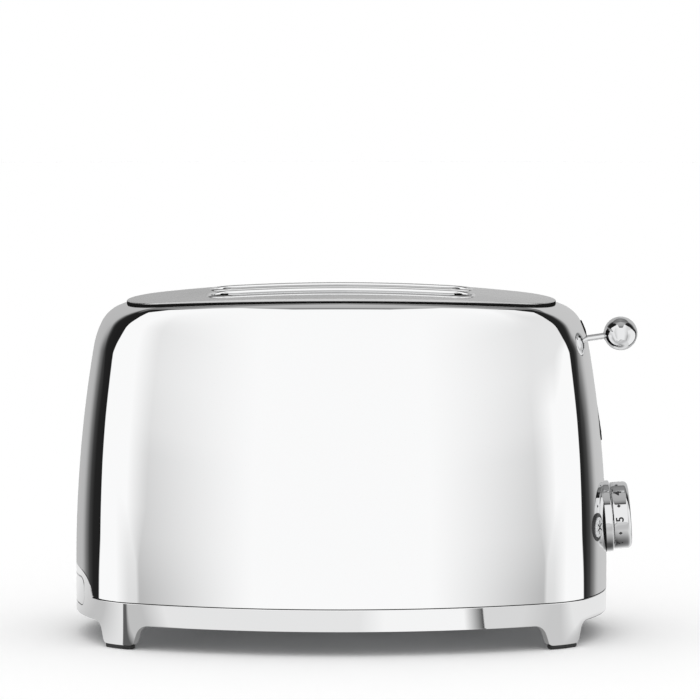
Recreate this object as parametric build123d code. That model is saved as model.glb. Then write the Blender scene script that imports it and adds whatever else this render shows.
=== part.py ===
from build123d import *
from math import asin, atan, atan2, cos, degrees, hypot, pi, radians, sin, sqrt
import os

# A two-slice toaster. Millimetres, +Z up. X runs along the bread slots, with the lever and the
# knob at the +X end, and -Y is the front. Sizes are given about the middle of the body. Heights are
# given from a level just above the surface it stands on, which is itself at standing_level.

# Body shell: plan outline at the base and at the rim under the top plate
body_half_length = 154.4
body_half_depth = 97.0
rim_half_depth = 60.9
front_plan_radius = 300.0
corner_radius_share = 0.39
end_radius_share = 1.08
shell_wall = 1.0

# Body shell: upright profiles
seam_height = 24.0
rim_front_height = 193.9
rim_end_height = 188.5
end_upright = 12.0
end_wall_radius = 760.0
shoulder_radius = 50.0
shoulder_slope = 27.0
end_corner_radius = 19.0
rim_end_slope = 85.0
front_upright = 6.0
front_edge_radius = 8.0
rim_front_slope = 62.0
rim_trim_length = 0.2
rim_trim_depth = 0.3

# Sections of the outer form stand closer together where the profiles turn quickly, and a cap
# above the rim closes it
section_shares = (0, 0.05, 0.15, 0.3, 0.45, 0.6, 0.72, 0.8, 0.85, 0.89, 0.92, 0.945, 0.965, 0.985, 1)
cap_half_length = 112.0
cap_half_depth = 52.0
cap_height = 198.0

# Top plate and the bread slots
plate_thickness = 2.0
plate_overlap = 0.7
plate_seat_gap = 0.22
plate_cross_crown = 1500.0
plate_lip_depth = 3.5
slot_length = 150.0
slot_width = 32.0
slot_corner_radius = 13.0
slot_pitch = 46.0
slot_lip_width = 2.0
slot_lip_rise = 0.9
slot_lip_depth = 8.0

# Base skirt, its legs and the hump round the crumb tray
standing_level = -3.0
skirt_bottom = 11.0
skirt_wall = 6.0
seam_groove = 0.5
seam_groove_depth = 0.6
locating_lip_height = 4.0
locating_lip_wall = 2.0
ledge_bottom = 14.0
ledge_thickness = 2.0
ledge_width = 7.0
leg_azimuth = 36.0
leg_half_width = 10.5
leg_flare = 4.0
leg_fillet = 7.0
leg_toe_radius = 3.0
pad_thickness = 2.2
pad_inset = 0.3
hump_top = 38.6
hump_half_width = 48.5

# Bottom plate
bottom_plate_thickness = 1.2
louvre_length = 34.0
louvre_width = 3.0
screw_radius = 1.5
screw_head_radius = 3.0
screw_head_height = 1.8

# Crumb tray
tray_half_width = 36.0
tray_floor_height = 16.5
tray_sheet = 0.8
tray_depth = 7.0
tray_back = 84.0
tray_front_half_width = 37.0
tray_front_bottom = 16.7
tray_front_top = 33.0
tray_front_thickness = 2.5
tray_front_corner = 6.0
tray_gap = 0.3
tray_rail_width = 2.0
tray_rail_foot = 10.0
tray_corner_radius = 5.5

# Toasting chamber
chamber_half_length = 88.0
chamber_half_depth = 49.8
chamber_top = 184.0
chamber_sheet = 1.2
reflector_sheet = 0.8
left_plate_bottom = 26.0
shelf_height = 28.0
shelf_reach = 25.0
shelf_half_width = 22.0
card_thickness = 1.0
card_bottom = 58.0
card_top = 178.0
outer_card_offset = 46.0
ribbon_width = 2.2
ribbon_thickness = 0.35
ribbon_turns = 14
ribbon_pitch = 10.6

# Bread guards
guard_offset = 17.5
guard_pivot_height = 56.0
guard_top_height = 176.0
guard_rod_radius = 1.0
guard_wire_radius = 0.8
guard_wires = 9
guard_wire_pitch = 17.0
guard_pin_reach = 2.0
running_clearance = 0.05

# Carriage, racks, guide rod and spring
travel = 50.0
rack_top = 115.0
rack_height = 10.0
rack_sheet = 1.5
rack_tabs = 8
rack_tab_pitch = 18.0
rack_tab_length = 8.0
rack_tab_reach = 5.5
rack_side_clearance = 0.9
carriage_gap = 4.8
carriage_half_width = 28.0
carriage_bottom = 104.0
guide_rod_radius = 3.0
guide_rod_y = 14.0
guide_rod_out = 12.0
bush_side = 11.0
bush_bottom = 112.0
bush_height = 38.0
spring_coil_radius = 4.2
spring_wire_radius = 0.6
spring_turns = 12
spring_steps = 12
spring_y = -14.0
keeper_thickness = 2.0
keeper_width = 16.0
magnet_gap = 0.2

# Lever
lever_slot_width = 9.0
lever_slot_top = 177.0
lever_slot_bottom = 110.0
lever_height = 168.0
lever_tilt = 8.4
lever_rod_radius = 1.8
lever_ball_radius = 9.8
lever_ball_reach = 19.6
lever_ball_socket = 5.0
liner_thickness = 1.2
liner_margin = 5.0
liner_slit_clearance = 0.8
liner_insert_clearance = 0.1
liner_insert_recess = 0.3
arm_boss_radius = 4.5
arm_boss_length = 14.0

# Browning knob, its bezel, potentiometer and control board
knob_height = 64.0
knob_tilt = 4.4
bezel_radius = 20.7
bezel_bore_radius = 18.7
bezel_proud = 3.2
bezel_floor = 1.8
bezel_spigot_radius = 17.8
bezel_spigot_length = 6.0
bezel_edge = 0.8
panel_hole_clearance = 0.2
knob_radius = 19.4
knob_length = 10.1
knob_gap = 0.6
knob_edge_radius = 2.6
knob_dish_depth = 0.8
knob_dish_radius = 15.5
knob_cover = 3.0
shaft_radius = 3.0
shaft_clearance = 0.3
pot_radius = 8.5
pot_length = 9.0
board_depth = 28.0
board_thickness = 1.6
board_half_width = 40.0
board_low = 32.0
board_high = 34.0
board_arm_y = 36.0
board_arm_bottom = 36.0
board_arm_top = 46.0

# Push buttons
button_height = 62.4
button_offset = 37.0
button_radius = 5.85
button_ring_bore = 5.95
button_ring_radius = 8.25
button_hole_radius = 7.5
button_ring_proud = 1.0
button_ring_length = 8.0
button_proud = 1.3
button_dome = 0.7
button_travel = 1.5
button_stem_radius = 2.0
button_stem_end = 14.0
switch_side = 7.0

# Cord gland at the back of the skirt
gland_height = 18.4
gland_radius = 4.15
gland_bore = 3.0
gland_flange_radius = 5.0
gland_flange = 1.2
gland_length = 9.0


# Small helpers
def block(x0, x1, y0, y1, z0, z1):
    size = (x1 - x0, y1 - y0, z1 - z0)
    return Pos((x0 + x1) / 2, (y0 + y1) / 2, (z0 + z1) / 2) * Box(*size)


def rod_between(start, end, radius):
    axis = Vector(*end) - Vector(*start)
    return Plane(origin=start, z_dir=axis) * Cylinder(radius, axis.length, align=base_align)


def joined(solids):
    whole = solids[0]
    for solid in solids[1:]:
        whole += solid
    return whole


base_align = (Align.CENTER, Align.CENTER, Align.MIN)


# Plan outlines: each quarter is a long front arc, a tight corner arc and an end arc, all tangent
def plan_arcs(half_length, half_depth, front_radius, corner_radius, end_radius):
    front_y = half_depth - front_radius
    end_x = half_length - end_radius
    to_front = front_radius - corner_radius
    to_end = end_radius - corner_radius
    span = hypot(end_x, front_y)
    along = (to_front ** 2 - to_end ** 2 + span ** 2) / (2 * span)
    across = sqrt(to_front ** 2 - along ** 2)
    corner_x = (along * end_x - across * front_y) / span
    corner_y = front_y - (along * front_y + across * end_x) / span
    first = atan2(corner_x, corner_y - front_y)
    second = atan2(corner_x - end_x, corner_y)
    return (
        (0, front_y, front_radius, 0, first),
        (corner_x, corner_y, corner_radius, first, second),
        (end_x, 0, end_radius, second, pi / 2),
    )


def on_arc(arc, share):
    x, y, radius, start, end = arc
    turn = start + (end - start) * share
    return x + radius * sin(turn), y + radius * cos(turn)


def plan_radii(half_depth, inset):
    corner = half_depth * corner_radius_share - 0.6 * inset
    return front_plan_radius - inset, corner, half_depth * end_radius_share


def oval(half_length, half_depth, inset=0.0):
    """The flat plan outline as a face, drawn in by an inset."""
    depth = half_depth - inset
    arcs = plan_arcs(half_length - inset, depth, *plan_radii(depth, inset))
    quarter = [ThreePointArc(*[on_arc(arc, share) for share in (0, 0.5, 1)]) for arc in arcs]
    half = quarter + [mirror(edge, Plane.XZ) for edge in quarter]
    outline = half + [mirror(edge, Plane.YZ) for edge in half]
    return make_face(outline)


def base_oval(inset=0.0):
    return oval(body_half_length, body_half_depth, inset)


def oval_band(inset, wall, low, high):
    band = base_oval(inset) - base_oval(inset + wall)
    return Pos(0, 0, low) * extrude(band, high - low)


# Upright profiles: a short upright stretch, then arcs that lean further and further in
def end_profile():
    climb = rim_end_height - seam_height - end_upright
    shoulder, top = radians(shoulder_slope), radians(rim_end_slope)
    upper = shoulder_radius * sin(shoulder) + end_corner_radius * (sin(top) - sin(shoulder))
    first = asin((climb - upper) / (end_wall_radius - shoulder_radius))
    return (
        (end_wall_radius, 0, first),
        (shoulder_radius, first, shoulder),
        (end_corner_radius, shoulder, top),
    )


def front_profile():
    top = radians(rim_front_slope)
    inward = body_half_depth - rim_half_depth - front_edge_radius * (1 - cos(top))
    climb = rim_front_height - seam_height - front_upright - front_edge_radius * sin(top)
    first = 2 * atan(inward / climb)
    wall_radius = climb / sin(first) + front_edge_radius
    return (wall_radius, 0, first), (front_edge_radius, first, top)


def walk(half_width, upright, profile, share, inset):
    """Half width and height a share of the way up a profile; past its end it runs on straight."""
    remaining = share * (upright + sum(radius * (end - start) for radius, start, end in profile))
    width, height, slope = half_width - inset, seam_height, 0.0
    step = min(remaining, upright)
    height += step
    remaining -= step
    for radius, start, end in profile:
        turn = min(remaining / radius, end - start)
        slope = start + turn
        width -= (radius - inset) * (cos(start) - cos(slope))
        height += (radius - inset) * (sin(slope) - sin(start))
        remaining -= turn * radius
    return width - remaining * sin(slope), height + remaining * cos(slope)


def body_section(share, inset):
    """One crowned ring round the body; its height falls from the middle to the ends."""
    half_length, end_z = walk(body_half_length, end_upright, end_profile(), share, inset)
    half_depth, front_z = walk(body_half_depth, front_upright, front_profile(), share, inset)
    arcs = plan_arcs(half_length, half_depth, *plan_radii(half_depth, inset))

    def height(x):
        return front_z + (end_z - front_z) * (x / half_length) ** 2

    return section_wire(arcs, height)


def section_wire(arcs, height):
    steps = [step / 6 for step in range(7)]
    front, corner, end = [[on_arc(arc, share) for share in steps] for arc in arcs]

    def turned(points, sign_x, sign_y):
        return [(x * sign_x, y * sign_y) for x, y in points]

    back_run = turned(front, -1, 1)[::-1] + front[1:]
    right_run = end + turned(end, 1, -1)[::-1][1:]
    runs = [
        back_run,
        corner,
        right_run,
        turned(corner, 1, -1)[::-1],
        turned(back_run, 1, -1)[::-1],
        turned(corner, -1, -1),
        turned(right_run, -1, 1)[::-1],
        turned(corner, -1, 1)[::-1],
    ]
    return Wire([Edge.make_spline([Vector(x, y, height(x)) for x, y in run]) for run in runs])


def body_form(inset):
    """The whole outer form as one solid; the cap above its rim is always cut away."""
    wires = [body_section(share, inset) for share in section_shares]
    half_depth = cap_half_depth - inset
    arcs = plan_arcs(cap_half_length - inset, half_depth, *plan_radii(half_depth, inset))
    wires.append(section_wire(arcs, lambda x: cap_height - inset))
    return Solid.make_loft(wires)


rim_half_length, rim_end_z = walk(body_half_length, end_upright, end_profile(), 1, 0)


# The top plate is crowned both ways, so its layers are barrels that fit the rim
plate_front_drop = plate_cross_crown - sqrt(plate_cross_crown ** 2 - rim_half_depth ** 2)
plate_top = rim_front_height + plate_seat_gap + plate_thickness + plate_front_drop
plate_end_drop = rim_front_height - rim_end_height + plate_front_drop
plate_long_crown = (rim_half_length ** 2 + plate_end_drop ** 2) / (2 * plate_end_drop)


def barrel_layer(top, bottom):
    """The layer between two crowned surfaces, given as depths below the plate's own top."""
    reach = asin((rim_half_length + 10) / plate_long_crown)
    centre_z = plate_top - plate_long_crown

    def crown_point(depth, angle):
        radius = plate_long_crown - depth
        return radius * sin(angle), centre_z + radius * cos(angle)

    upper = [crown_point(top, angle) for angle in (-reach, 0, reach)]
    lower = [crown_point(bottom, angle) for angle in (reach, 0, -reach)]
    outline = [
        ThreePointArc(*upper), Line(upper[2], lower[0]),
        ThreePointArc(*lower), Line(lower[2], upper[0]),
    ]
    profile = Plane.XZ * make_face(outline)
    swing = degrees(asin((rim_half_depth + 10) / plate_cross_crown))
    hinge = Axis((0, 0, plate_top - plate_cross_crown), (1, 0, 0))
    return revolve(profile.rotate(hinge, -swing), axis=hinge, revolution_arc=2 * swing)


def slot_prism(grow, y):
    size = (slot_length + 2 * grow, slot_width + 2 * grow, slot_corner_radius + grow)
    return Pos(0, y, plate_top - 30) * extrude(RectangleRounded(*size), 50)


def end_wall_x(height):
    """Half length of the body at a height, found by halving the share of the end profile."""
    low, high = 0.0, 1.0
    for _ in range(40):
        share = (low + high) / 2
        x, z = walk(body_half_length, end_upright, end_profile(), share, 0)
        if z < height:
            low = share
        else:
            high = share
    return x


# Places at the right-hand end
knob_place = Vector(end_wall_x(knob_height), 0, knob_height)
knob_axis = Vector(cos(radians(knob_tilt)), 0, sin(radians(knob_tilt)))
knob_plane = Plane(origin=knob_place, x_dir=(0, 1, 0), z_dir=knob_axis)
knob_start = bezel_proud + knob_gap
knob_face = knob_start + knob_length


def button_plane(side):
    """Origin on the wall, z pointing straight out of it; side is -1 at the front, 1 at the back."""
    end_radius = plan_radii(body_half_depth, 0)[2]
    turn = side * asin(button_offset / end_radius)
    centre_x = end_wall_x(button_height) - end_radius
    origin = (centre_x + end_radius * cos(turn), end_radius * sin(turn), button_height)
    return Plane(origin=origin, x_dir=(0, 0, 1), z_dir=(cos(turn), sin(turn), 0))


def turned_ring(plane, outer, inner, low, high):
    """A ring on a plane; a solid disc where the inner radius is nought."""
    profile = Circle(outer)
    if inner:
        profile -= Circle(inner)
    return plane * (Pos(0, 0, low) * extrude(profile, high - low))


# The lever rod's axis runs square to the wall, up and outwards
lever_slope = radians(lever_tilt)
lever_axis = Vector(cos(lever_slope), 0, sin(lever_slope))
lever_root = Vector(end_wall_x(lever_height), 0, lever_height)
ball_centre = lever_root + lever_axis * lever_ball_reach


# Housing
def body_shell(outer):
    shell = outer - body_form(shell_wall)
    mouth = oval(rim_half_length - rim_trim_length, rim_half_depth - rim_trim_depth)
    shell -= Pos(0, 0, 150) * extrude(mouth, 80)
    shell -= lever_slot_prism(0)
    shell -= turned_ring(knob_plane, bezel_spigot_radius + panel_hole_clearance, 0, -20, 20)
    for side in (-1, 1):
        shell -= turned_ring(button_plane(side), button_hole_radius, 0, -15, 15)
    shell -= hump_prism(tray_gap)
    return shell


def top_plate():
    outline = oval(rim_half_length, rim_half_depth, -plate_overlap)
    plate = Pos(0, 0, 150) * extrude(outline, 80)
    plate &= barrel_layer(0, plate_thickness)
    lip = oval(rim_half_length, rim_half_depth, shell_wall + 0.3)
    lip -= oval(rim_half_length, rim_half_depth, shell_wall + 1.5)
    lip = Pos(0, 0, 150) * extrude(lip, 80)
    lip &= barrel_layer(plate_thickness / 2, plate_thickness + plate_lip_depth)
    plate += lip
    for side in (-1, 1):
        plate -= slot_prism(slot_lip_width, side * slot_pitch / 2)
    return plate


def slot_lip(side):
    y = side * slot_pitch / 2
    ring = slot_prism(slot_lip_width, y) - slot_prism(0, y)
    return ring & barrel_layer(-slot_lip_rise, slot_lip_depth)


def hump_prism(gap):
    """The raised outline over the crumb tray, as a prism through the left-hand end."""
    side = [
        (hump_half_width + gap, seam_height),
        (hump_half_width - 3.3 + gap, seam_height + 7),
        (hump_half_width - 8.5 + gap, hump_top - 3.7 + gap),
        (hump_half_width - 15.5, hump_top - 1.6 + gap),
        (0, hump_top + gap),
    ]
    right = Spline(*side, tangents=((-0.15, 1), (-1, 0)))
    left = mirror(right, Plane.YZ)
    bottom = seam_height - 8
    foot = [
        Line((hump_half_width + gap, seam_height), (hump_half_width + gap, bottom)),
        Line((hump_half_width + gap, bottom), (-hump_half_width - gap, bottom)),
        Line((-hump_half_width - gap, bottom), (-hump_half_width - gap, seam_height)),
    ]
    face = make_face([right, left] + foot)
    return extrude(Plane(origin=(-120, 0, 0), x_dir=(0, 1, 0), z_dir=(1, 0, 0)) * face, -60)


def leg_prism(sign_x, sign_y, half_width, low, toe, overlap):
    """A leg's outline, flared into the skirt's lower edge, extruded square through the skirt."""
    arcs = plan_arcs(body_half_length, body_half_depth, *plan_radii(body_half_depth, 0))
    corner_x, corner_y, radius = arcs[1][:3]
    turn = radians(leg_azimuth)
    outward = Vector(sign_x * sin(turn), sign_y * cos(turn), 0)
    along = Vector(cos(turn) * sign_x, -sin(turn) * sign_y, 0)
    corner = Vector(sign_x * corner_x, sign_y * corner_y, 0)
    plane = Plane(origin=corner + outward * (radius - 30), x_dir=along, z_dir=outward)
    up = 1 if plane.y_dir.Z > 0 else -1
    wide = half_width + 20
    points = [
        (-wide, skirt_bottom + overlap), (-wide, skirt_bottom),
        (-half_width - leg_flare, skirt_bottom), (-half_width, low),
        (half_width, low), (half_width + leg_flare, skirt_bottom),
        (wide, skirt_bottom), (wide, skirt_bottom + overlap),
    ]
    line = FilletPolyline(
        *[(x, up * z) for x, z in points], radius=(0.5, leg_fillet, toe, toe, leg_fillet, 0.5)
    )
    closing = Line((-wide, up * (skirt_bottom + overlap)), (wide, up * (skirt_bottom + overlap)))
    face = make_face(line.edges() + [closing])
    return plane * extrude(face, 45)


leg_signs = {
    "front_left": (-1, -1),
    "front_right": (1, -1),
    "rear_left": (-1, 1),
    "rear_right": (1, 1),
}


def base_skirt():
    leg_bottom = standing_level + pad_thickness
    tall = oval_band(0, skirt_wall, leg_bottom - 1, hump_top + 1)
    ring = oval_band(0, skirt_wall, skirt_bottom, seam_height)
    ring -= oval_band(-1, 1 + seam_groove_depth, seam_height - seam_groove, seam_height + 1)
    skirt = ring + (tall & hump_prism(0))
    for sign_x, sign_y in leg_signs.values():
        leg = leg_prism(sign_x, sign_y, leg_half_width, leg_bottom, leg_toe_radius, 2.0)
        skirt += tall & leg
    lip_inset = shell_wall + 0.2
    lip_top = seam_height + locating_lip_height
    skirt += oval_band(lip_inset, locating_lip_wall, skirt_bottom + 6, lip_top)
    skirt += oval_band(skirt_wall - 1, 1 + ledge_width, ledge_bottom, ledge_bottom + ledge_thickness)
    skirt -= tray_mouth(tray_gap)
    skirt -= gland_hole()
    for place in base_screw_places():
        skirt -= place * Cylinder(screw_radius, 8)
    return skirt


def tray_mouth(gap):
    width = 2 * (tray_front_half_width + gap)
    height = tray_front_top - tray_front_bottom + 2 * gap
    middle = (tray_front_top + tray_front_bottom) / 2
    outline = RectangleRounded(width, height, tray_front_corner + gap)
    place = Plane(origin=(-130, 0, middle), x_dir=(0, 1, 0), z_dir=(1, 0, 0))
    return extrude(place * outline, -40)


def foot_pad(sign_x, sign_y):
    pad_top = standing_level + pad_thickness
    band = oval_band(pad_inset, skirt_wall - 2 * pad_inset, standing_level, pad_top)
    half_width = leg_half_width - leg_toe_radius / 2
    arcs = plan_arcs(body_half_length, body_half_depth, *plan_radii(body_half_depth, 0))
    corner_x, corner_y, radius = arcs[1][:3]
    turn = radians(leg_azimuth)
    x = sign_x * (corner_x + radius * sin(turn))
    y = sign_y * (corner_y + radius * cos(turn))
    prism = Pos(x, y, 0) * Rot(0, 0, -sign_x * sign_y * leg_azimuth) * Box(2 * half_width, 60, 20)
    return band & prism


def base_screw_places():
    inset = skirt_wall + ledge_width / 2 + 0.2
    half_depth = body_half_depth - inset
    arcs = plan_arcs(body_half_length - inset, half_depth, *plan_radii(half_depth, inset))
    x, y = on_arc(arcs[0], 0.8)
    return [Pos(sx * x, sy * y, ledge_bottom) for sx in (-1, 1) for sy in (-1, 1)]


def chassis_screw_places():
    y = chamber_half_depth + reflector_sheet + 5
    return [Pos(sx * 70, sy * y, ledge_bottom) for sx in (-1, 1) for sy in (-1, 1)]


def bottom_plate():
    low = ledge_bottom - bottom_plate_thickness
    plate = Pos(0, 0, low) * extrude(base_oval(skirt_wall + tray_gap), bottom_plate_thickness)
    louvre = extrude(SlotOverall(louvre_length, louvre_width), 10, both=True)
    for place in GridLocations(louvre_length + 12, 3 * louvre_width, 4, 6):
        plate -= Pos(0, 0, low) * place * louvre
    for place in base_screw_places() + chassis_screw_places():
        plate -= place * Cylinder(screw_radius, 8)
    inner = tray_half_width + tray_gap
    for side in (-1, 1):
        rail_y = sorted((side * (inner - tray_rail_foot), side * (inner + tray_rail_width)))
        wall_y = sorted((side * inner, side * (inner + tray_rail_width)))
        rail_top = tray_floor_height - 0.1
        plate += block(-120, tray_back, *rail_y, ledge_bottom, rail_top)
        plate += block(-120, tray_back, *wall_y, ledge_bottom, tray_floor_height + tray_depth)
    return plate


def screw(place, head_up, length):
    """A cheese-head screw at a place, with its shank going away from its head."""
    shank = Cylinder(screw_radius, length, align=base_align)
    head = Pos(0, 0, length) * Cylinder(screw_head_radius, screw_head_height, align=base_align)
    whole = shank + head
    edge = whole.edges().filter_by(GeomType.CIRCLE).sort_by(Axis.Z)[-1]
    whole = chamfer(edge, screw_head_height / 4)
    return place * (whole if head_up else Rot(180, 0, 0) * whole)


def base_screws():
    length = bottom_plate_thickness + ledge_thickness
    high = Pos(0, 0, ledge_thickness)
    return [screw(place * high, False, length) for place in base_screw_places()]


def chassis_screws():
    length = bottom_plate_thickness + reflector_sheet
    low = Pos(0, 0, -bottom_plate_thickness)
    return [screw(place * low, True, length) for place in chassis_screw_places()]


# Toasting chamber
def chassis_plate(x_low, bottom):
    """An upright sheet across the end of the chamber, slotted for the racks and drilled for guards."""
    half = chamber_half_depth + reflector_sheet
    x_high = x_low + chamber_sheet
    sheet = block(x_low, x_high, -half, half, bottom, chamber_top)
    hole_radius = guard_rod_radius + running_clearance
    slot_half = rack_sheet / 2 + rack_side_clearance
    low = rack_top - rack_height - travel - 3
    for side in (-1, 1):
        middle = side * slot_pitch / 2
        slot_y = (middle - slot_half, middle + slot_half)
        sheet -= block(x_low - 1, x_high + 1, *slot_y, low, rack_top + 3)
        for offset in (-guard_offset, guard_offset):
            hole = Plane(origin=(x_low - 1, middle + offset, guard_pivot_height), z_dir=(1, 0, 0))
            sheet -= hole * Cylinder(hole_radius, chamber_sheet + 2, align=base_align)
    return sheet


def end_plate_left():
    return chassis_plate(-chamber_half_length - chamber_sheet, left_plate_bottom)


def end_plate_right():
    plate = chassis_plate(chamber_half_length, ledge_bottom)
    face = chamber_half_length + chamber_sheet
    reach = face + shelf_reach
    shelf_y = (-shelf_half_width, shelf_half_width)
    shelf = block(face, reach, *shelf_y, shelf_height, shelf_height + chamber_sheet)
    top = block(face, reach - 5, *shelf_y, chamber_top - chamber_sheet, chamber_top)
    plate += shelf + top
    for side in (-1, 1):
        wall_y = sorted((side * (shelf_half_width - chamber_sheet), side * shelf_half_width))
        plate += block(face, reach, *wall_y, shelf_height, shelf_height + 10)
        arm_y = sorted((side * board_arm_y, side * (board_arm_y + chamber_sheet)))
        plate += block(face, knob_place.X, *arm_y, board_arm_bottom, board_arm_top)
    plate -= turned_ring(knob_plane, 60, 0, -board_depth - board_thickness, 60)
    plate -= guide_rod()
    return plate


def reflector(side):
    inner, outer = chamber_half_depth, chamber_half_depth + reflector_sheet
    length = (-chamber_half_length, chamber_half_length)
    wall = block(*length, inner, outer, ledge_bottom, chamber_top)
    flange = block(*length, inner, outer + 10, ledge_bottom, ledge_bottom + reflector_sheet)
    sheet = wall + flange
    if side < 0:
        sheet = mirror(sheet, Plane.XZ)
    for place in chassis_screw_places():
        sheet -= place * Cylinder(screw_radius, 8)
    return sheet


def heater_card(y):
    half = card_thickness / 2
    return block(-chamber_half_length, chamber_half_length, y - half, y + half, card_bottom, card_top)


def heater_winding(y):
    """One ribbon wound round its card: upright runs in front, slanting runs behind."""
    half = card_thickness / 2
    low, high = card_bottom - ribbon_thickness, card_top + ribbon_thickness
    front_y = (y - half - ribbon_thickness, y - half)
    whole_y = (y - half - ribbon_thickness, y + half + ribbon_thickness)
    first = -(ribbon_turns - 1) * ribbon_pitch / 2
    pieces = []
    for turn in range(ribbon_turns):
        x = first + turn * ribbon_pitch
        pieces.append(block(x, x + ribbon_width, *front_y, low, high))
        pieces.append(block(x, x + ribbon_width, *whole_y, card_top, high))
        if turn == ribbon_turns - 1:
            break
        step = x + ribbon_pitch
        corners = [(x, high), (x + ribbon_width, high), (step + ribbon_width, low), (step, low)]
        behind = Plane(origin=(0, y + half, 0), x_dir=(1, 0, 0), z_dir=(0, -1, 0))
        slant = behind * make_face(Polyline(*corners, close=True))
        pieces.append(extrude(slant, -ribbon_thickness))
        pieces.append(block(step, step + ribbon_width, *whole_y, low, card_bottom))
    return joined(pieces)


def guide_rod():
    x = chamber_half_length + chamber_sheet + guide_rod_out
    return rod_between((x, guide_rod_y, shelf_height), (x, guide_rod_y, chamber_top), guide_rod_radius)


spring_top = chamber_top - chamber_sheet
spring_bottom = carriage_bottom + 16.0


def lift_spring():
    """A wound spring, made of short straight runs of six-sided wire."""
    height = spring_top - spring_bottom - 2 * spring_wire_radius
    pitch = height / spring_turns
    steps = spring_turns * spring_steps
    rise = atan(pitch / (2 * pi * spring_coil_radius))
    sections = []
    for step in range(steps + 1):
        turn = 2 * pi * step / spring_steps
        outward = Vector(cos(turn), sin(turn), 0)
        place = outward * spring_coil_radius + Vector(0, 0, height * step / steps)
        along = Vector(-sin(turn) * cos(rise), cos(turn) * cos(rise), sin(rise))
        plane = Plane(origin=place, x_dir=outward, z_dir=along)
        sections.append(plane * RegularPolygon(spring_wire_radius, 6))
    wound = loft(sections, ruled=True)
    gap = pitch * cos(rise) - 2 * spring_wire_radius
    print("lift spring: least gap between turns", round(gap, 2), "mm")
    x = chamber_half_length + chamber_sheet + guide_rod_out
    return Pos(x, spring_y, spring_bottom + spring_wire_radius) * wound


magnet_low = shelf_height + chamber_sheet
magnet_high = carriage_bottom - keeper_thickness - travel - magnet_gap
magnet_x = chamber_half_length + chamber_sheet + 15.0


def magnet_yoke():
    half_x, half_y, leg = 8.0, 7.0, 2.5
    yoke = block(magnet_x - half_x, magnet_x + half_x, -half_y, half_y, magnet_low, magnet_low + 3)
    for x in (-half_x, -leg, half_x - leg):
        width = 2 * leg if x == -leg else leg
        yoke += block(magnet_x + x, magnet_x + x + width, -half_y, half_y, magnet_low, magnet_high)
    return yoke


def magnet_coil():
    coil = block(magnet_x - 5.3, magnet_x + 5.3, -10, 10, magnet_low + 3.2, magnet_high - 2)
    coil = fillet(coil.edges().filter_by(Axis.Z), 2.4)
    return coil - block(magnet_x - 2.5, magnet_x + 2.5, -7, 7, 0, 200)


# Controls
def control_board():
    middle = (board_high - board_low) / 2
    outline = Pos(0, middle) * Rectangle(2 * board_half_width, board_low + board_high)
    sheet = extrude(outline, board_thickness)
    return knob_plane * (Pos(0, 0, -board_depth - board_thickness) * sheet)


def potentiometer():
    body = turned_ring(knob_plane, pot_radius, 0, -board_depth, -board_depth + pot_length)
    collar = turned_ring(knob_plane, shaft_radius + 1.5, 0, -board_depth, -board_depth + pot_length + 4)
    bore = turned_ring(knob_plane, shaft_radius + running_clearance, 0, -board_depth + 2, 0)
    return body + collar - bore


def knob_bezel(wall_block):
    flange = turned_ring(knob_plane, bezel_radius, 0, -4, bezel_proud)
    rounded = flange.edges().filter_by(GeomType.CIRCLE).sort_by(Axis.X)[-1]
    flange = fillet(rounded, bezel_edge) - wall_block
    flange -= turned_ring(knob_plane, bezel_bore_radius, 0, bezel_floor, bezel_proud + 1)
    spigot = turned_ring(knob_plane, bezel_spigot_radius, 0, -bezel_spigot_length, bezel_floor / 2)
    return flange + spigot - turned_ring(knob_plane, shaft_radius + shaft_clearance, 0, -20, 20)


def browning_knob():
    knob = turned_ring(knob_plane, knob_radius, 0, knob_start, knob_face)
    rounded = knob.edges().filter_by(GeomType.CIRCLE).sort_by(Axis.X)[-1]
    knob = fillet(rounded, knob_edge_radius)
    knob -= turned_ring(knob_plane, knob_dish_radius, 0, knob_face - knob_dish_depth, 60)
    return knob - turned_ring(knob_plane, shaft_radius, 0, 0, knob_face - knob_cover)


def knob_shaft():
    return turned_ring(knob_plane, shaft_radius, 0, -board_depth + 2.5, knob_face - knob_cover)


def button_ring(side, wall_block):
    plane = button_plane(side)
    flange = turned_ring(plane, button_ring_radius, button_ring_bore, -3, button_ring_proud)
    tube = turned_ring(plane, button_hole_radius - 0.1, button_ring_bore, -button_ring_length, 0)
    return (flange - wall_block) + tube


def push_button(side):
    plane = button_plane(side)
    cap = turned_ring(plane, button_radius, 0, -button_ring_length + 1, button_proud)
    rim = cap.edges().filter_by(GeomType.CIRCLE).sort_by(Axis.X)[-1]
    cap = fillet(rim, button_dome)
    return cap + turned_ring(plane, button_stem_radius, 0, -button_stem_end, 0)


def button_switch(side):
    top = button_stem_end + button_travel + 0.1
    post = Pos(0, 0, -top - 20) * extrude(Rectangle(switch_side, switch_side), 20)
    post = button_plane(side) * post
    return post - turned_ring(knob_plane, 90, 0, -board_depth - 60, -board_depth)


def lever_slot_prism(inset):
    height = lever_slot_top - lever_slot_bottom - 2 * inset
    middle = (lever_slot_top + lever_slot_bottom) / 2
    place = Plane(origin=(120, 0, middle), x_dir=(0, 0, 1), z_dir=(1, 0, 0))
    return extrude(place * SlotOverall(height, lever_slot_width - 2 * inset), 50)


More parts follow.
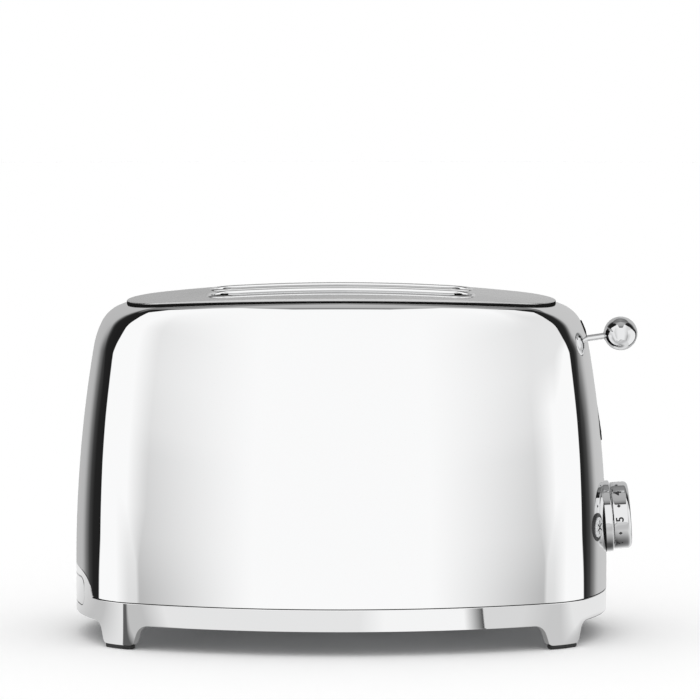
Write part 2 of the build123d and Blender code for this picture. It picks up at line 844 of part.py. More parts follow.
def lever_slot_liner():
    half = lever_slot_width / 2 + liner_margin
    reach = liner_margin + 1
    zone = block(110, 160, -half, half, lever_slot_bottom - reach, lever_slot_top + reach)
    wall = zone & body_form(shell_wall)
    liner = wall - Pos(-liner_thickness, 0, 0) * wall - block(100, 130, -20, 20, 0, 200)
    slit = 2 * (lever_rod_radius + liner_slit_clearance)
    height = travel + slit + 2
    middle = lever_height - travel / 2 - 1
    place = Plane(origin=(100, 0, middle), x_dir=(0, 0, 1), z_dir=(1, 0, 0))
    opening = place * SlotOverall(height, slit)
    insert = lever_slot_prism(liner_insert_clearance) & body_form(liner_insert_recess)
    insert -= body_form(shell_wall + liner_thickness / 2)
    return liner + insert - extrude(opening, 70)


def gland_hole():
    place = Plane(origin=(0, body_half_depth + 5, gland_height), z_dir=(0, -1, 0))
    return place * Cylinder(gland_radius, 25, align=base_align)


def cord_gland():
    mouth = Plane(origin=(0, body_half_depth + gland_flange, gland_height), z_dir=(0, -1, 0))
    flange = mouth * Cylinder(gland_flange_radius, gland_flange + 1, align=base_align)
    flange -= Pos(0, 0, 5) * extrude(base_oval(), 30)
    tube = mouth * Cylinder(gland_radius, gland_flange + gland_length, align=base_align)
    return flange + tube - mouth * Cylinder(gland_bore, 30, align=base_align)


# Moving pieces
def bread_guard(y):
    half_length = chamber_half_length + chamber_sheet + guard_pin_reach
    top_half = (guard_wires - 1) * guard_wire_pitch / 2 + 4
    low, high = guard_pivot_height, guard_top_height
    guard = rod_between((-half_length, y, low), (half_length, y, low), guard_rod_radius)
    guard += rod_between((-top_half, y, high), (top_half, y, high), guard_rod_radius)
    for index in range(guard_wires):
        x = (index - (guard_wires - 1) / 2) * guard_wire_pitch
        guard += rod_between((x, y, low), (x, y, high), guard_wire_radius)
    return guard


carriage_face = chamber_half_length + chamber_sheet + carriage_gap


def bread_rack(side):
    y = side * slot_pitch / 2
    half = rack_sheet / 2
    left = -chamber_half_length - chamber_sheet - 3
    rack = block(left, carriage_face, y - half, y + half, rack_top - rack_height, rack_top)
    for index in range(rack_tabs):
        x = (index - (rack_tabs - 1) / 2) * rack_tab_pitch
        lean = 1 if index % 2 else -1
        tab_x = (x - rack_tab_length / 2, x + rack_tab_length / 2)
        tab_y = sorted((y, y + lean * rack_tab_reach))
        rack += block(*tab_x, *tab_y, rack_top - rack_sheet, rack_top)
    return rack


def carriage_plate():
    x0, x1 = carriage_face, carriage_face + rack_sheet
    plate = block(x0, x1, -carriage_half_width, carriage_half_width, carriage_bottom, rack_top + 3)
    plate += block(x0, x1, -10, guide_rod_y + bush_side / 2, carriage_bottom, lever_height - 6)
    boss_end = lever_root - lever_axis * 20
    boss_start = boss_end - lever_axis * arm_boss_length
    arm_low = lever_height - 10
    plate += block(x0, boss_end.X - 1, -6, 6, arm_low, arm_low + rack_sheet)
    plate += rod_between(tuple(boss_start), tuple(boss_end), arm_boss_radius)
    plate += block(boss_start.X + 2, boss_end.X - 1, -2, 2, arm_low, arm_low + 3)
    spring_ledge_y = (spring_y - 5, spring_y + 5)
    plate += block(x0, x1 + 12, *spring_ledge_y, spring_bottom - rack_sheet, spring_bottom)
    keeper_y = (-keeper_width / 2, keeper_width / 2)
    plate += block(x0, x1 + keeper_width, *keeper_y, carriage_bottom, carriage_bottom + rack_sheet)
    return plate - lever_rod()


def keeper_plate():
    half = keeper_width / 2
    low = carriage_bottom - keeper_thickness
    return block(magnet_x - half, magnet_x + half, -half, half, low, carriage_bottom)


def carriage_bush():
    x = chamber_half_length + chamber_sheet + guide_rod_out
    x0 = carriage_face + rack_sheet
    half = bush_side / 2
    bush_y = (guide_rod_y - half, guide_rod_y + half)
    bush = block(x0, x + half, *bush_y, bush_bottom, bush_bottom + bush_height)
    bush = fillet(bush.edges().filter_by(Axis.Z).group_by(Axis.X)[-1], 2.5)
    bore = Pos(x, guide_rod_y, bush_bottom - 1) * Cylinder(
        guide_rod_radius + running_clearance, bush_height + 2, align=base_align
    )
    return bush - bore


def lever_rod():
    start = lever_root - lever_axis * (20 + arm_boss_length - 2)
    end = ball_centre - lever_axis * (lever_ball_radius - lever_ball_socket)
    return rod_between(tuple(start), tuple(end), lever_rod_radius)


def lever_ball():
    return Pos(*ball_centre) * Sphere(lever_ball_radius) - lever_rod()


def crumb_tray_front():
    band = oval_band(0, tray_front_thickness, tray_front_bottom - 1, tray_front_top + 1)
    panel = band & tray_mouth(0)
    reach = body_half_length + 4.4
    notch = Plane(origin=(-reach, 0, tray_front_bottom), z_dir=(0, 1, 0)) * Cylinder(6, 26)
    return panel - notch


def tray_trough(inset):
    width = 2 * (tray_half_width - inset)
    height = 4 * tray_depth
    outline = Pos(0, tray_floor_height + inset + height / 2) * RectangleRounded(
        width, height, tray_corner_radius - inset
    )
    place = Plane(origin=(tray_back - inset, 0, 0), x_dir=(0, 1, 0), z_dir=(1, 0, 0))
    return extrude(place * outline, -300)


def crumb_tray_pan():
    """A pan with rounded lower corners, open at the top and closed at both ends."""
    top = tray_floor_height + tray_depth
    hollow = tray_trough(tray_sheet) & extrude(base_oval(tray_front_thickness + tray_sheet), 60)
    pan = (tray_trough(0) & extrude(base_oval(tray_front_thickness), 60)) - hollow
    return pan - block(-200, 200, -60, 60, top, 80)


# The origin is on the standing surface, under the middle of the whole outline, lever ball included
outline_middle = (ball_centre.X + lever_ball_radius - body_half_length) / 2
print("x of the body's middle", round(-outline_middle, 4))
print("knob axis through", [round(v, 4) for v in (knob_place.X - outline_middle, 0, knob_height)])
print("lever ball at", [round(v, 3) for v in ball_centre])


def save(node, shape):
    solids = shape if isinstance(shape, list) else [shape]
    solids = [part for solid in solids for part in solid.solids()]
    placed = [Pos(-outline_middle, 0, -standing_level) * solid for solid in solids]
    whole = placed[0] if len(placed) == 1 else Compound(children=placed)
    export_step(whole, "parts/" + node + ".step")


os.makedirs("parts", exist_ok=True)

outer_form = body_form(0)
right_wall = outer_form & block(125, 160, -60, 60, 30, 100)

save("body_shell", body_shell(outer_form))
save("top_plate", top_plate())
save("base_skirt", base_skirt())
save("bottom_plate", bottom_plate())
save("base_screws", base_screws())
save("chassis_screws", chassis_screws())
for corner_name, signs in leg_signs.items():
    save("foot_pad_" + corner_name, foot_pad(*signs))
save("end_plate_left", end_plate_left())
save("end_plate_right", end_plate_right())
save("guide_rod", guide_rod())
save("lift_spring", lift_spring())
save("magnet_yoke", magnet_yoke())
save("magnet_coil", magnet_coil())
save("control_board", control_board())
save("potentiometer", potentiometer())
save("knob_bezel", knob_bezel(right_wall))
save("lever_slot_liner", lever_slot_liner())
save("cord_gland", cord_gland())
save("browning_knob", browning_knob())
save("knob_shaft", knob_shaft())
save("carriage_plate", carriage_plate())
save("carriage_bush", carriage_bush())
save("keeper_plate", keeper_plate())
save("lever_rod", lever_rod())
save("lever_ball", lever_ball())
save("crumb_tray_front", crumb_tray_front())
save("crumb_tray_pan", crumb_tray_pan())
save("heater_card_centre", heater_card(0))
save("heater_winding_centre", heater_winding(0))
for side_name, side in (("front", -1), ("rear", 1)):
    save("slot_lip_" + side_name, slot_lip(side))
    save("reflector_" + side_name, reflector(side))
    save("heater_card_" + side_name, heater_card(side * outer_card_offset))
    save("heater_winding_" + side_name, heater_winding(side * outer_card_offset))
    save("bread_rack_" + side_name, bread_rack(side))
    save("guard_" + side_name + "_outer", bread_guard(side * (slot_pitch / 2 + guard_offset)))
    save("guard_" + side_name + "_inner", bread_guard(side * (slot_pitch / 2 - guard_offset)))
    save("button_ring_" + side_name, button_ring(side, right_wall))
    save("button_" + side_name, push_button(side))
    save("button_switch_" + side_name, button_switch(side))
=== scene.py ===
from math import asin, atan2, cos, hypot, pi, radians, sin, sqrt, tan

import bmesh
import bpy
import numpy as np
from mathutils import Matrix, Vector
from mathutils.bvhtree import BVHTree


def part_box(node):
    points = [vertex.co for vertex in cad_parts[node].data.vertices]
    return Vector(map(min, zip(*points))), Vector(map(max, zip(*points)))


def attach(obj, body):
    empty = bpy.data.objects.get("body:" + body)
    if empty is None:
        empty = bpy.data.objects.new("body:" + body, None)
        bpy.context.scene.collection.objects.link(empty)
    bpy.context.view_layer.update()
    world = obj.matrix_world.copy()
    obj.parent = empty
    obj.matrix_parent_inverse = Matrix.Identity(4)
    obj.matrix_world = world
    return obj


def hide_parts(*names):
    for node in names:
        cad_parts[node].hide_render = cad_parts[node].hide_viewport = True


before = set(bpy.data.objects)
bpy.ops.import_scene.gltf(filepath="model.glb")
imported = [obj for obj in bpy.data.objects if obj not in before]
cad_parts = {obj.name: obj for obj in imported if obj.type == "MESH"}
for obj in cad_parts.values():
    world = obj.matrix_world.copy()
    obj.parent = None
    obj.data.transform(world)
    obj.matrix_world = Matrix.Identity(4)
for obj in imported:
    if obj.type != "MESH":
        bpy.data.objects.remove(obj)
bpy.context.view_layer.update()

# ---- place in the frame: sizes below are millimetres about the body's middle ----
shell_low, shell_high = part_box("body_shell")
SEAM_Z = 24.0
CENTRE_X = 500 * (shell_low.x + shell_high.x)
LIFT = 1000 * shell_low.z - SEAM_Z


def metres(points):
    """Millimetres about the body's middle to metres in the frame."""
    pts = np.asarray(points, float)
    return (pts + np.array([CENTRE_X, 0.0, LIFT])) * 0.001


def spot(x, y, z):
    return Vector(metres((x, y, z)))


# ---- the body's form, as in the part ----
HALF_LENGTH, HALF_DEPTH = 154.4, 97.0
END_UPRIGHT, FRONT_UPRIGHT = 12.0, 6.0
WALL_RADIUS = 760.0
RIM_HALF_DEPTH = 60.9
FRONT_PLAN_RADIUS = 300.0
CORNER_SHARE, END_SHARE = 0.39, 1.08
RIM_FRONT_Z, RIM_END_Z = 193.9, 188.5
LEVER_SLOT_HALF, LEVER_SLOT_LOW, LEVER_SLOT_HIGH = 4.5, 114.5, 172.5
FLOOR_Z = -LIFT
SIDES = ((-1, "front"), (1, "rear"))
CAMERA_X, CAMERA_Y, CAMERA_Z = 5.0, -2400.0, 380.18


def end_profile():
    """Arcs up the middle of an end wall, as (radius, start slope, end slope)."""
    climb = RIM_END_Z - SEAM_Z - END_UPRIGHT
    upper = 50.0 * sin(radians(27)) + 19.0 * (sin(radians(85)) - sin(radians(27)))
    first = asin((climb - upper) / (WALL_RADIUS - 50.0))
    return ((WALL_RADIUS, 0.0, first), (50.0, first, radians(27)), (19.0, radians(27), radians(85)))


def front_profile():
    """The same up the middle of the front."""
    top = radians(62)
    inward = HALF_DEPTH - RIM_HALF_DEPTH - 8.0 * (1 - cos(top))
    climb = RIM_FRONT_Z - SEAM_Z - FRONT_UPRIGHT - 8.0 * sin(top)
    first = 2 * atan2(inward, climb)
    return ((climb / sin(first) + 8.0, 0.0, first), (8.0, first, top))


def walk(half_width, upright, profile, share, inset):
    """Half width and height at a share of the way up a wall's middle line."""
    remaining = share * (upright + sum(r * (b - a) for r, a, b in profile))
    width, height, slope = half_width - inset, SEAM_Z, 0.0
    step = min(remaining, upright)
    height += step
    remaining -= step
    for radius, start, end in profile:
        turn = min(remaining / radius, end - start)
        slope = start + turn
        width -= (radius - inset) * (cos(start) - cos(slope))
        height += (radius - inset) * (sin(slope) - sin(start))
        remaining -= turn * radius
    return width, height


def plan_arcs(half_length, half_depth, inset):
    """Front, corner and end arcs of a quarter of the plan, as (x, y, radius, start, end)."""
    front, end = FRONT_PLAN_RADIUS - inset, half_depth * END_SHARE
    corner = half_depth * CORNER_SHARE - 0.6 * inset
    front_y, end_x = half_depth - front, half_length - end
    to_front, to_end = front - corner, end - corner
    span = hypot(end_x, front_y)
    along = (to_front ** 2 - to_end ** 2 + span ** 2) / (2 * span)
    across = sqrt(to_front ** 2 - along ** 2)
    cx = (along * end_x - across * front_y) / span
    cy = front_y - (along * front_y + across * end_x) / span
    first, second = atan2(cx, cy - front_y), atan2(cx - end_x, cy)
    return ((0, front_y, front, 0, first), (cx, cy, corner, first, second), (end_x, 0, end, second, pi / 2))


def oval_points(half_length, half_depth, inset, counts=(34, 34, 22)):
    """Points and outward normals round the plan outline, anticlockwise from the middle of the front."""
    quarter = []
    for (x, y, r, a, b), n in zip(plan_arcs(half_length, half_depth, inset), counts):
        for i in range(n):
            t = a + (b - a) * i / n
            quarter.append((x + r * sin(t), y + r * cos(t), t))
    quarter.append((half_length, 0.0, pi / 2))
    q = np.array(quarter)
    x, y, t = q[:, 0], q[:, 1], q[:, 2]
    pts = np.concatenate([
        np.stack([x, -y], 1)[:-1], np.stack([x, y], 1)[::-1][:-1],
        np.stack([-x, y], 1)[:-1], np.stack([-x, -y], 1)[::-1][:-1],
    ])
    ang = np.concatenate([t[:-1], (pi - t)[::-1][:-1], (pi + t)[:-1], (2 * pi - t)[::-1][:-1]])
    return pts, np.stack([np.sin(ang), -np.cos(ang)], 1)


def body_ring(share, inset):
    """The shell's outline at a share of the way up."""
    a, za = walk(HALF_LENGTH, END_UPRIGHT, end_profile(), share, inset)
    b, zb = walk(HALF_DEPTH, FRONT_UPRIGHT, front_profile(), share, inset)
    pts, _ = oval_points(a, b, inset)
    z = zb + (za - zb) * (pts[:, 0] / a) ** 2
    return np.column_stack([pts, z])


# ---- mesh helpers ----
def arc(x, y, across, up, start, end, count):
    """Points along part of an ellipse, from its half width and half height."""
    return [(x + across * cos(t), y + up * sin(t)) for t in np.linspace(start, end, count)]


def from_grid(name, grid, loop_rows=False, loop_columns=True, caps=False, sharp=35):
    """A quad mesh from rows of points in millimetres; it can close on itself both ways, or have caps."""
    grid = np.asarray(grid, float)
    rows, cols = grid.shape[:2]
    faces = []
    for r in range(rows if loop_rows else rows - 1):
        for c in range(cols if loop_columns else cols - 1):
            r2, c2 = (r + 1) % rows, (c + 1) % cols
            faces.append((r * cols + c, r * cols + c2, r2 * cols + c2, r2 * cols + c))
    if caps:
        faces.append(tuple(range(cols))[::-1])
        faces.append(tuple((rows - 1) * cols + c for c in range(cols)))
    return from_faces(name, grid.reshape(-1, 3), faces, sharp)


def from_faces(name, points, faces, sharp=35):
    """A piece from points in millimetres, smooth but for edges sharper than an angle."""
    mesh = bpy.data.meshes.new(name)
    mesh.from_pydata([tuple(p) for p in metres(points)], [], faces)
    work = bmesh.new()
    work.from_mesh(mesh)
    bmesh.ops.remove_doubles(work, verts=work.verts, dist=1e-7)
    bmesh.ops.recalc_face_normals(work, faces=work.faces)
    work.to_mesh(mesh)
    work.free()
    mesh.shade_smooth()
    mesh.set_sharp_from_angle(angle=radians(sharp))
    return in_scene(name, mesh)


def in_scene(name, data):
    piece = bpy.data.objects.new(name, data)
    bpy.context.scene.collection.objects.link(piece)
    return piece


def lathe(name, profile, origin, axis, segments=96, sharp=35):
    """A turned piece: (radius, height) pairs along an axis through an origin, both in millimetres."""
    axis = Vector(axis).normalized()
    side = axis.cross(Vector((0, 0, 1))).normalized()
    other = side.cross(axis).normalized()
    points, faces, rows = [], [], []
    for radius, height in profile:
        base = Vector(origin) + axis * height
        if radius < 1e-6:
            rows.append([len(points)] * segments)
            points.append(tuple(base))
            continue
        rows.append([len(points) + i for i in range(segments)])
        for i in range(segments):
            t = 2 * pi * i / segments
            points.append(tuple(base + side * (radius * cos(t)) + other * (radius * sin(t))))
    for low, high in zip(rows, rows[1:]):
        for i in range(segments):
            j = (i + 1) % segments
            corners = tuple(dict.fromkeys((low[i], low[j], high[j], high[i])))
            if len(corners) > 2:
                faces.append(corners)
    return from_faces(name, points, faces, sharp)


def bake(piece):
    """Applies the piece's modifiers."""
    graph = bpy.context.evaluated_depsgraph_get()
    mesh = bpy.data.meshes.new_from_object(piece.evaluated_get(graph))
    piece.modifiers.clear()
    old = piece.data
    piece.data = mesh
    mesh.name = piece.name
    bpy.data.meshes.remove(old)


def cut(piece, cutters):
    """Cuts holes, then gives the kept surface the normals it had before."""
    source = piece.data.copy()
    for cutter in cutters:
        mod = piece.modifiers.new("cut", "BOOLEAN")
        mod.operation = "DIFFERENCE"
        mod.solver = "EXACT"
        mod.object = cutter
    bake(piece)
    for cutter in cutters:
        bpy.data.objects.remove(cutter)
    restore_normals(piece.data, source)
    bpy.data.meshes.remove(source)


SAME_SIDE = 0.9  # cosine between two faces that count as one surface


def place_key(point):
    """A point's place to a hundredth of a millimetre."""
    return tuple(round(c * 1e5) for c in point)


def restore_normals(mesh, source):
    """Gives each corner the source's normal there: its own corner's, or one blended in the nearest face."""
    tree = BVHTree.FromPolygons(
        [v.co for v in source.vertices], [tuple(p.vertices) for p in source.polygons], epsilon=0.0
    )
    corner_normals = np.zeros(len(source.loops) * 3, np.float32)
    source.corner_normals.foreach_get("vector", corner_normals)
    corner_normals = corner_normals.reshape(-1, 3)
    known = {}
    for face in source.polygons:
        for vertex, loop in zip(face.vertices, face.loop_indices):
            place = place_key(source.vertices[vertex].co)
            known.setdefault(place, []).append((face.normal, corner_normals[loop]))
    made = []
    for poly in mesh.polygons:
        flat = poly.normal
        for loop in poly.loop_indices:
            co = mesh.vertices[mesh.loops[loop].vertex_index].co
            best = max(known.get(place_key(co), ()), key=lambda corner: corner[0].dot(flat), default=None)
            if best and best[0].dot(flat) > SAME_SIDE:
                made.append(tuple(best[1]))
                continue
            inward = co + (poly.center - co) * 0.02
            where, _, index, _ = tree.find_nearest(inward)
            face = source.polygons[index]
            if face.normal.dot(flat) < SAME_SIDE or len(face.vertices) != 4:
                made.append(tuple(flat))
                continue
            weights = quad_weights([source.vertices[v].co for v in face.vertices], where)
            blend = Vector((0, 0, 0))
            for w, source_loop in zip(weights, face.loop_indices):
                blend += Vector(corner_normals[source_loop]) * w
            made.append(tuple(blend.normalized()))
    mesh.normals_split_custom_set(made)


def quad_weights(corners, point):
    """Bilinear weights of a point in a nearly flat quad."""
    a, b, _, d = corners
    ab, ad = b - a, d - a
    rel = point - a
    u = min(max(rel.dot(ab) / ab.length_squared, 0.0), 1.0)
    v = min(max(rel.dot(ad) / ad.length_squared, 0.0), 1.0)
    return ((1 - u) * (1 - v), u * (1 - v), u * v, (1 - u) * v)


def prism(name, outline, direction, length):
    """A prism from a closed outline of 3-D points, for cutting."""
    outline = np.asarray(outline, float)
    shift = np.asarray(direction, float) * length
    n = len(outline)
    points = np.concatenate([outline, outline + shift])
    faces = [tuple(range(n))[::-1], tuple(range(n, 2 * n))]
    faces += [(i, (i + 1) % n, n + (i + 1) % n, n + i) for i in range(n)]
    return from_faces(name, points, faces, 35)


# ---- materials ----
class Tree:
    """Adds nodes to a tree. A value is a number, a colour or another node's socket."""

    def __init__(self, tree):
        self.tree = tree

    def put(self, socket, value):
        if hasattr(value, "node"):
            self.tree.links.new(value, socket)
        elif value is not None:
            socket.default_value = value

    def add(self, kind, **values):
        node = self.tree.nodes.new(kind)
        for key, value in values.items():
            if hasattr(node, key):
                setattr(node, key, value)
            else:
                self.put(node.inputs[key.replace("_", " ")], value)
        return node

    def chain(self, kind, values, **settings):
        """The output of a node whose first inputs are given in order."""
        node = self.add(kind, **settings)
        for socket, value in zip(node.inputs, values):
            self.put(socket, value)
        return node.outputs[0]

    def math(self, op, a, b=None):
        return self.chain("ShaderNodeMath", (a, b), operation=op)

    def spread(self, value, low, high, from_low=0.3, from_high=0.7):
        node = self.add("ShaderNodeMapRange", From_Min=from_low, From_Max=from_high, To_Min=low, To_Max=high)
        self.put(node.inputs["Value"], value)
        return node.outputs["Result"]


class Nodes(Tree):
    """A material under construction."""

    def __init__(self, name):
        self.material = bpy.data.materials.new(name)
        self.material.use_nodes = True
        super().__init__(self.material.node_tree)
        self.shader = self.tree.nodes["Principled BSDF"]
        self.object = None

    def coordinates(self, scale=(1, 1, 1)):
        if self.object is None:
            self.object = self.add("ShaderNodeTexCoord")
        node = self.add("ShaderNodeMapping", Vector=self.object.outputs["Object"], Scale=scale)
        return node.outputs["Vector"]

    def noise(self, scale, detail, stretch=(1, 1, 1)):
        place = self.coordinates(stretch)
        node = self.add("ShaderNodeTexNoise", Vector=place, Scale=scale, Detail=detail, Roughness=0.55)
        return node.outputs["Fac"]

    def tint(self, value, dark, light):
        node = self.add("ShaderNodeMix", data_type="RGBA")
        for socket in node.inputs:
            if socket.type == "RGBA":
                socket.default_value = (*(dark if socket.name == "A" else light), 1)
        self.put(node.inputs[0], value)
        return next(s for s in node.outputs if s.type == "RGBA")

    def bump(self, value, strength, distance):
        node = self.add("ShaderNodeBump", Height=value, Strength=strength, Distance=distance)
        return node.outputs["Normal"]

    def set(self, **values):
        for key, value in values.items():
            if isinstance(value, tuple):
                value = (*value, 1)
            self.put(self.shader.inputs[key.replace("_", " ")], value)


def polished(name, colour, low, high, ripple=0.0):
    """Mirror metal: faint smears in its gloss, and a slow ripple where the sheet isn't quite true."""
    m = Nodes(name)
    smear = m.noise(26, 5.0, (1, 1, 0.5))
    m.set(Metallic=1.0, Roughness=m.spread(smear, low, high))
    fine = m.noise(900, 2.0, (1, 1, 14))
    dark = tuple(c * 0.985 for c in colour)
    m.set(Base_Color=m.tint(m.spread(fine, 0, 1, 0.35, 0.65), dark, colour))
    if ripple:
        m.set(Normal=m.bump(m.noise(9, 1.0), ripple, 0.002))
    return m.material


def brushed(name, colour, along="x", low=0.22, high=0.36, scale=700, strength=0.05):
    """Metal with fine lines along an axis and a slow cloud in its tone."""
    m = Nodes(name)
    stretch = {"x": (0.012, 1, 1), "z": (1, 1, 0.012)}[along]
    grain = m.noise(scale, 3.0, stretch)
    cloud = m.noise(14, 3.0)
    m.set(Metallic=1.0, Roughness=m.spread(grain, low, high))
    dark = tuple(c * 0.86 for c in colour)
    m.set(Base_Color=m.tint(m.spread(cloud, 0, 1), dark, colour))
    m.set(Normal=m.bump(grain, strength, 0.0002))
    return m.material


def plastic(name, colour, rough=0.45, grain=900, strength=0.08, coat=0.0, gloss=0.5):
    """A moulded, rubber or painted surface with a fine grain."""
    m = Nodes(name)
    fine = m.noise(grain, 3.0)
    cloud = m.noise(30, 2.0)
    light = tuple(min(1, c * 1.18 + 0.004) for c in colour)
    m.set(Base_Color=m.tint(m.spread(cloud, 0, 1), colour, light))
    m.set(Roughness=m.spread(fine, rough - 0.06, rough + 0.08))
    m.set(Normal=m.bump(fine, strength, 0.0002), Coat_Weight=coat, Specular_IOR_Level=gloss)
    return m.material


CHROME = polished("polished_steel", (0.955, 0.957, 0.96), 0.002, 0.014, ripple=0.012)
SATIN = polished("polished_skirt", (0.94, 0.942, 0.945), 0.015, 0.05, ripple=0.012)
BRIGHT = polished("bright_chrome", (0.82, 0.825, 0.83), 0.01, 0.03)
BRUSHED = brushed("brushed_top", (0.72, 0.72, 0.72), "x")
SHEET = brushed("plain_sheet", (0.60, 0.61, 0.62), "x", 0.3, 0.5, 300, 0.08)
REFLECTOR = brushed("bright_sheet", (0.82, 0.82, 0.82), "x", 0.14, 0.28, 300, 0.06)
WIRE = brushed("drawn_wire", (0.66, 0.66, 0.67), "x", 0.2, 0.35, 600, 0.05)
RIBBON = brushed("oxidised_ribbon", (0.34, 0.31, 0.29), "z", 0.35, 0.6, 500, 0.1)
DARK = plastic("dark_moulding", (0.018, 0.018, 0.02), 0.38)
RUBBER = plastic("black_rubber", (0.022, 0.022, 0.022), 0.62, 500, 0.2)
# matt black: the lever slot's liner and trim, and the rings and strips of painted shade in gaps
MATT = plastic("matt_lining_and_painted_shade", (0.012, 0.012, 0.012), 0.85, 500, 0.1, gloss=0.0)
INK = plastic("printed_ink", (0.02, 0.02, 0.022), 0.5)
PALE = plastic("pale_button", (0.72, 0.73, 0.74), 0.3, coat=0.3)
BOARD = plastic("circuit_board", (0.05, 0.2, 0.09), 0.35, coat=0.3)
COPPER = plastic("wound_coil", (0.36, 0.13, 0.04), 0.35, 260, 0.5)


def mica():
    """Pale brown sheet with flakes."""
    m = Nodes("mica_sheet")
    flakes = m.add("ShaderNodeTexVoronoi", Vector=m.coordinates(), Scale=420)
    cloud = m.noise(40, 5.0)
    m.set(Base_Color=m.tint(m.spread(cloud, 0, 1), (0.40, 0.33, 0.22), (0.66, 0.60, 0.47)))
    m.set(Roughness=m.spread(flakes.outputs["Distance"], 0.25, 0.6, 0.0, 0.6))
    m.set(Normal=m.bump(flakes.outputs["Distance"], 0.15, 0.0003))
    return m.material


MICA = mica()


def dress(piece, material, body, replaces=()):
    """Gives a piece its material and its body, and hides the parts it replaces."""
    piece.data.materials.clear()
    piece.data.materials.append(material)
    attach(piece, body)
    if replaces:
        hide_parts(*replaces)
    return piece


# ---- hump outline over the crumb tray: half width against height ----
HUMP_HALF, HUMP_TOP = 48.5, 38.6


def hump_line(gap):
    """Clamped cubic through the hump's points, as (half width, height)."""
    pts = np.array([
        (HUMP_HALF + gap, SEAM_Z), (HUMP_HALF - 3.3 + gap, SEAM_Z + 7),
        (HUMP_HALF - 8.5 + gap, HUMP_TOP - 3.7 + gap), (HUMP_HALF - 15.5, HUMP_TOP - 1.6 + gap),
        (0, HUMP_TOP + gap),
    ])
    t = np.concatenate([[0], np.cumsum(np.hypot(*np.diff(pts, axis=0).T))])
    first, last = np.array((-0.15, 1.0)), np.array((-1.0, 0.0))
    first, last = first / np.hypot(*first), last / np.hypot(*last)
    n = len(pts)
    left = np.zeros((n, n))
    right = np.zeros((n, 2))
    left[0, 0] = left[-1, -1] = 1
    right[0], right[-1] = first, last
    for i in range(1, n - 1):
        h0, h1 = t[i] - t[i - 1], t[i + 1] - t[i]
        left[i, i - 1], left[i, i], left[i, i + 1] = h1, 2 * (h0 + h1), h0
        right[i] = 3 * (h1 * (pts[i] - pts[i - 1]) / h0 + h0 * (pts[i + 1] - pts[i]) / h1)
    slopes = np.linalg.solve(left, right)
    s = np.arange(24)[:, None] / 24
    line = []
    for i in range(n - 1):
        h = t[i + 1] - t[i]
        line.append(
            (2 * s ** 3 - 3 * s ** 2 + 1) * pts[i] + (s ** 3 - 2 * s ** 2 + s) * h * slopes[i]
            + (-2 * s ** 3 + 3 * s ** 2) * pts[i + 1] + (s ** 3 - s ** 2) * h * slopes[i + 1]
        )
    return np.concatenate([*line, pts[-1:]])


# ---- controls' places ----
KNOB_Z, BUTTON_Z, BUTTON_ACROSS = 64.0, 62.4, 37.0
TILT = radians(4.4)
KNOB_AXIS = Vector((cos(TILT), 0, sin(TILT)))
KNOB_UP = Vector((-sin(TILT), 0, cos(TILT)))


def lean(z):
    """How far the end wall has come in at a height on its long curve."""
    return WALL_RADIUS - sqrt(WALL_RADIUS ** 2 - (z - SEAM_Z - END_UPRIGHT) ** 2)


KNOB_AT = Vector((HALF_LENGTH - lean(KNOB_Z), 0, KNOB_Z))


def button_place(side):
    """The middle of a button on the wall, and the way it faces."""
    end = HALF_DEPTH * END_SHARE
    turn = side * asin(BUTTON_ACROSS / end)
    x = HALF_LENGTH - lean(BUTTON_Z) - end
    return Vector((x + end * cos(turn), end * sin(turn), BUTTON_Z)), Vector((cos(turn), sin(turn), 0))


# ---- body shell ----
def shell_shares():
    """Shares of the way up, closer where the wall turns in."""
    return np.concatenate([
        np.linspace(0, 0.78, 34), np.linspace(0.78, 0.935, 20)[1:], np.linspace(0.935, 1.0, 46)[1:],
    ])


def lever_slot(half, count):
    """The lever slot's outline as across and up."""
    turn = np.linspace(0, 2 * pi, count, endpoint=False)
    middle = np.where(np.sin(turn) >= 0, LEVER_SLOT_HIGH, LEVER_SLOT_LOW)
    return np.stack([half * np.cos(turn), middle + half * np.sin(turn)])


def make_shell():
    outer = [body_ring(share, 0.0) for share in shell_shares()]
    inner = [body_ring(share, 1.0) for share in shell_shares()[::-4]] + [body_ring(0, 1.0)]
    shell = from_grid("shell", outer + inner, loop_rows=True, sharp=40)
    slot = [(120, y, z) for y, z in lever_slot(LEVER_SLOT_HALF, 64).T]
    cutters = [prism("cut_slot", slot, (1, 0, 0), 50)]
    cutters.append(lathe("cut_knob", [(0, -20), (18.0, -20), (18.0, 20), (0, 20)], KNOB_AT, KNOB_AXIS, 96))
    for side in (-1, 1):
        at, out = button_place(side)
        cutters.append(lathe("cut_button", [(0, -12), (7.5, -12), (7.5, 12), (0, 12)], at, out, 64))
    line = hump_line(0.3)
    outline = [(y, z) for y, z in line] + [(-y, z) for y, z in line[::-1][1:]]
    outline += [(-HUMP_HALF - 0.3, 10), (HUMP_HALF + 0.3, 10)]
    cutters.append(prism("cut_hump", [(-120, y, z) for y, z in outline], (-1, 0, 0), 60))
    cut(shell, cutters)
    return dress(shell, CHROME, "housing", ["body_shell"])


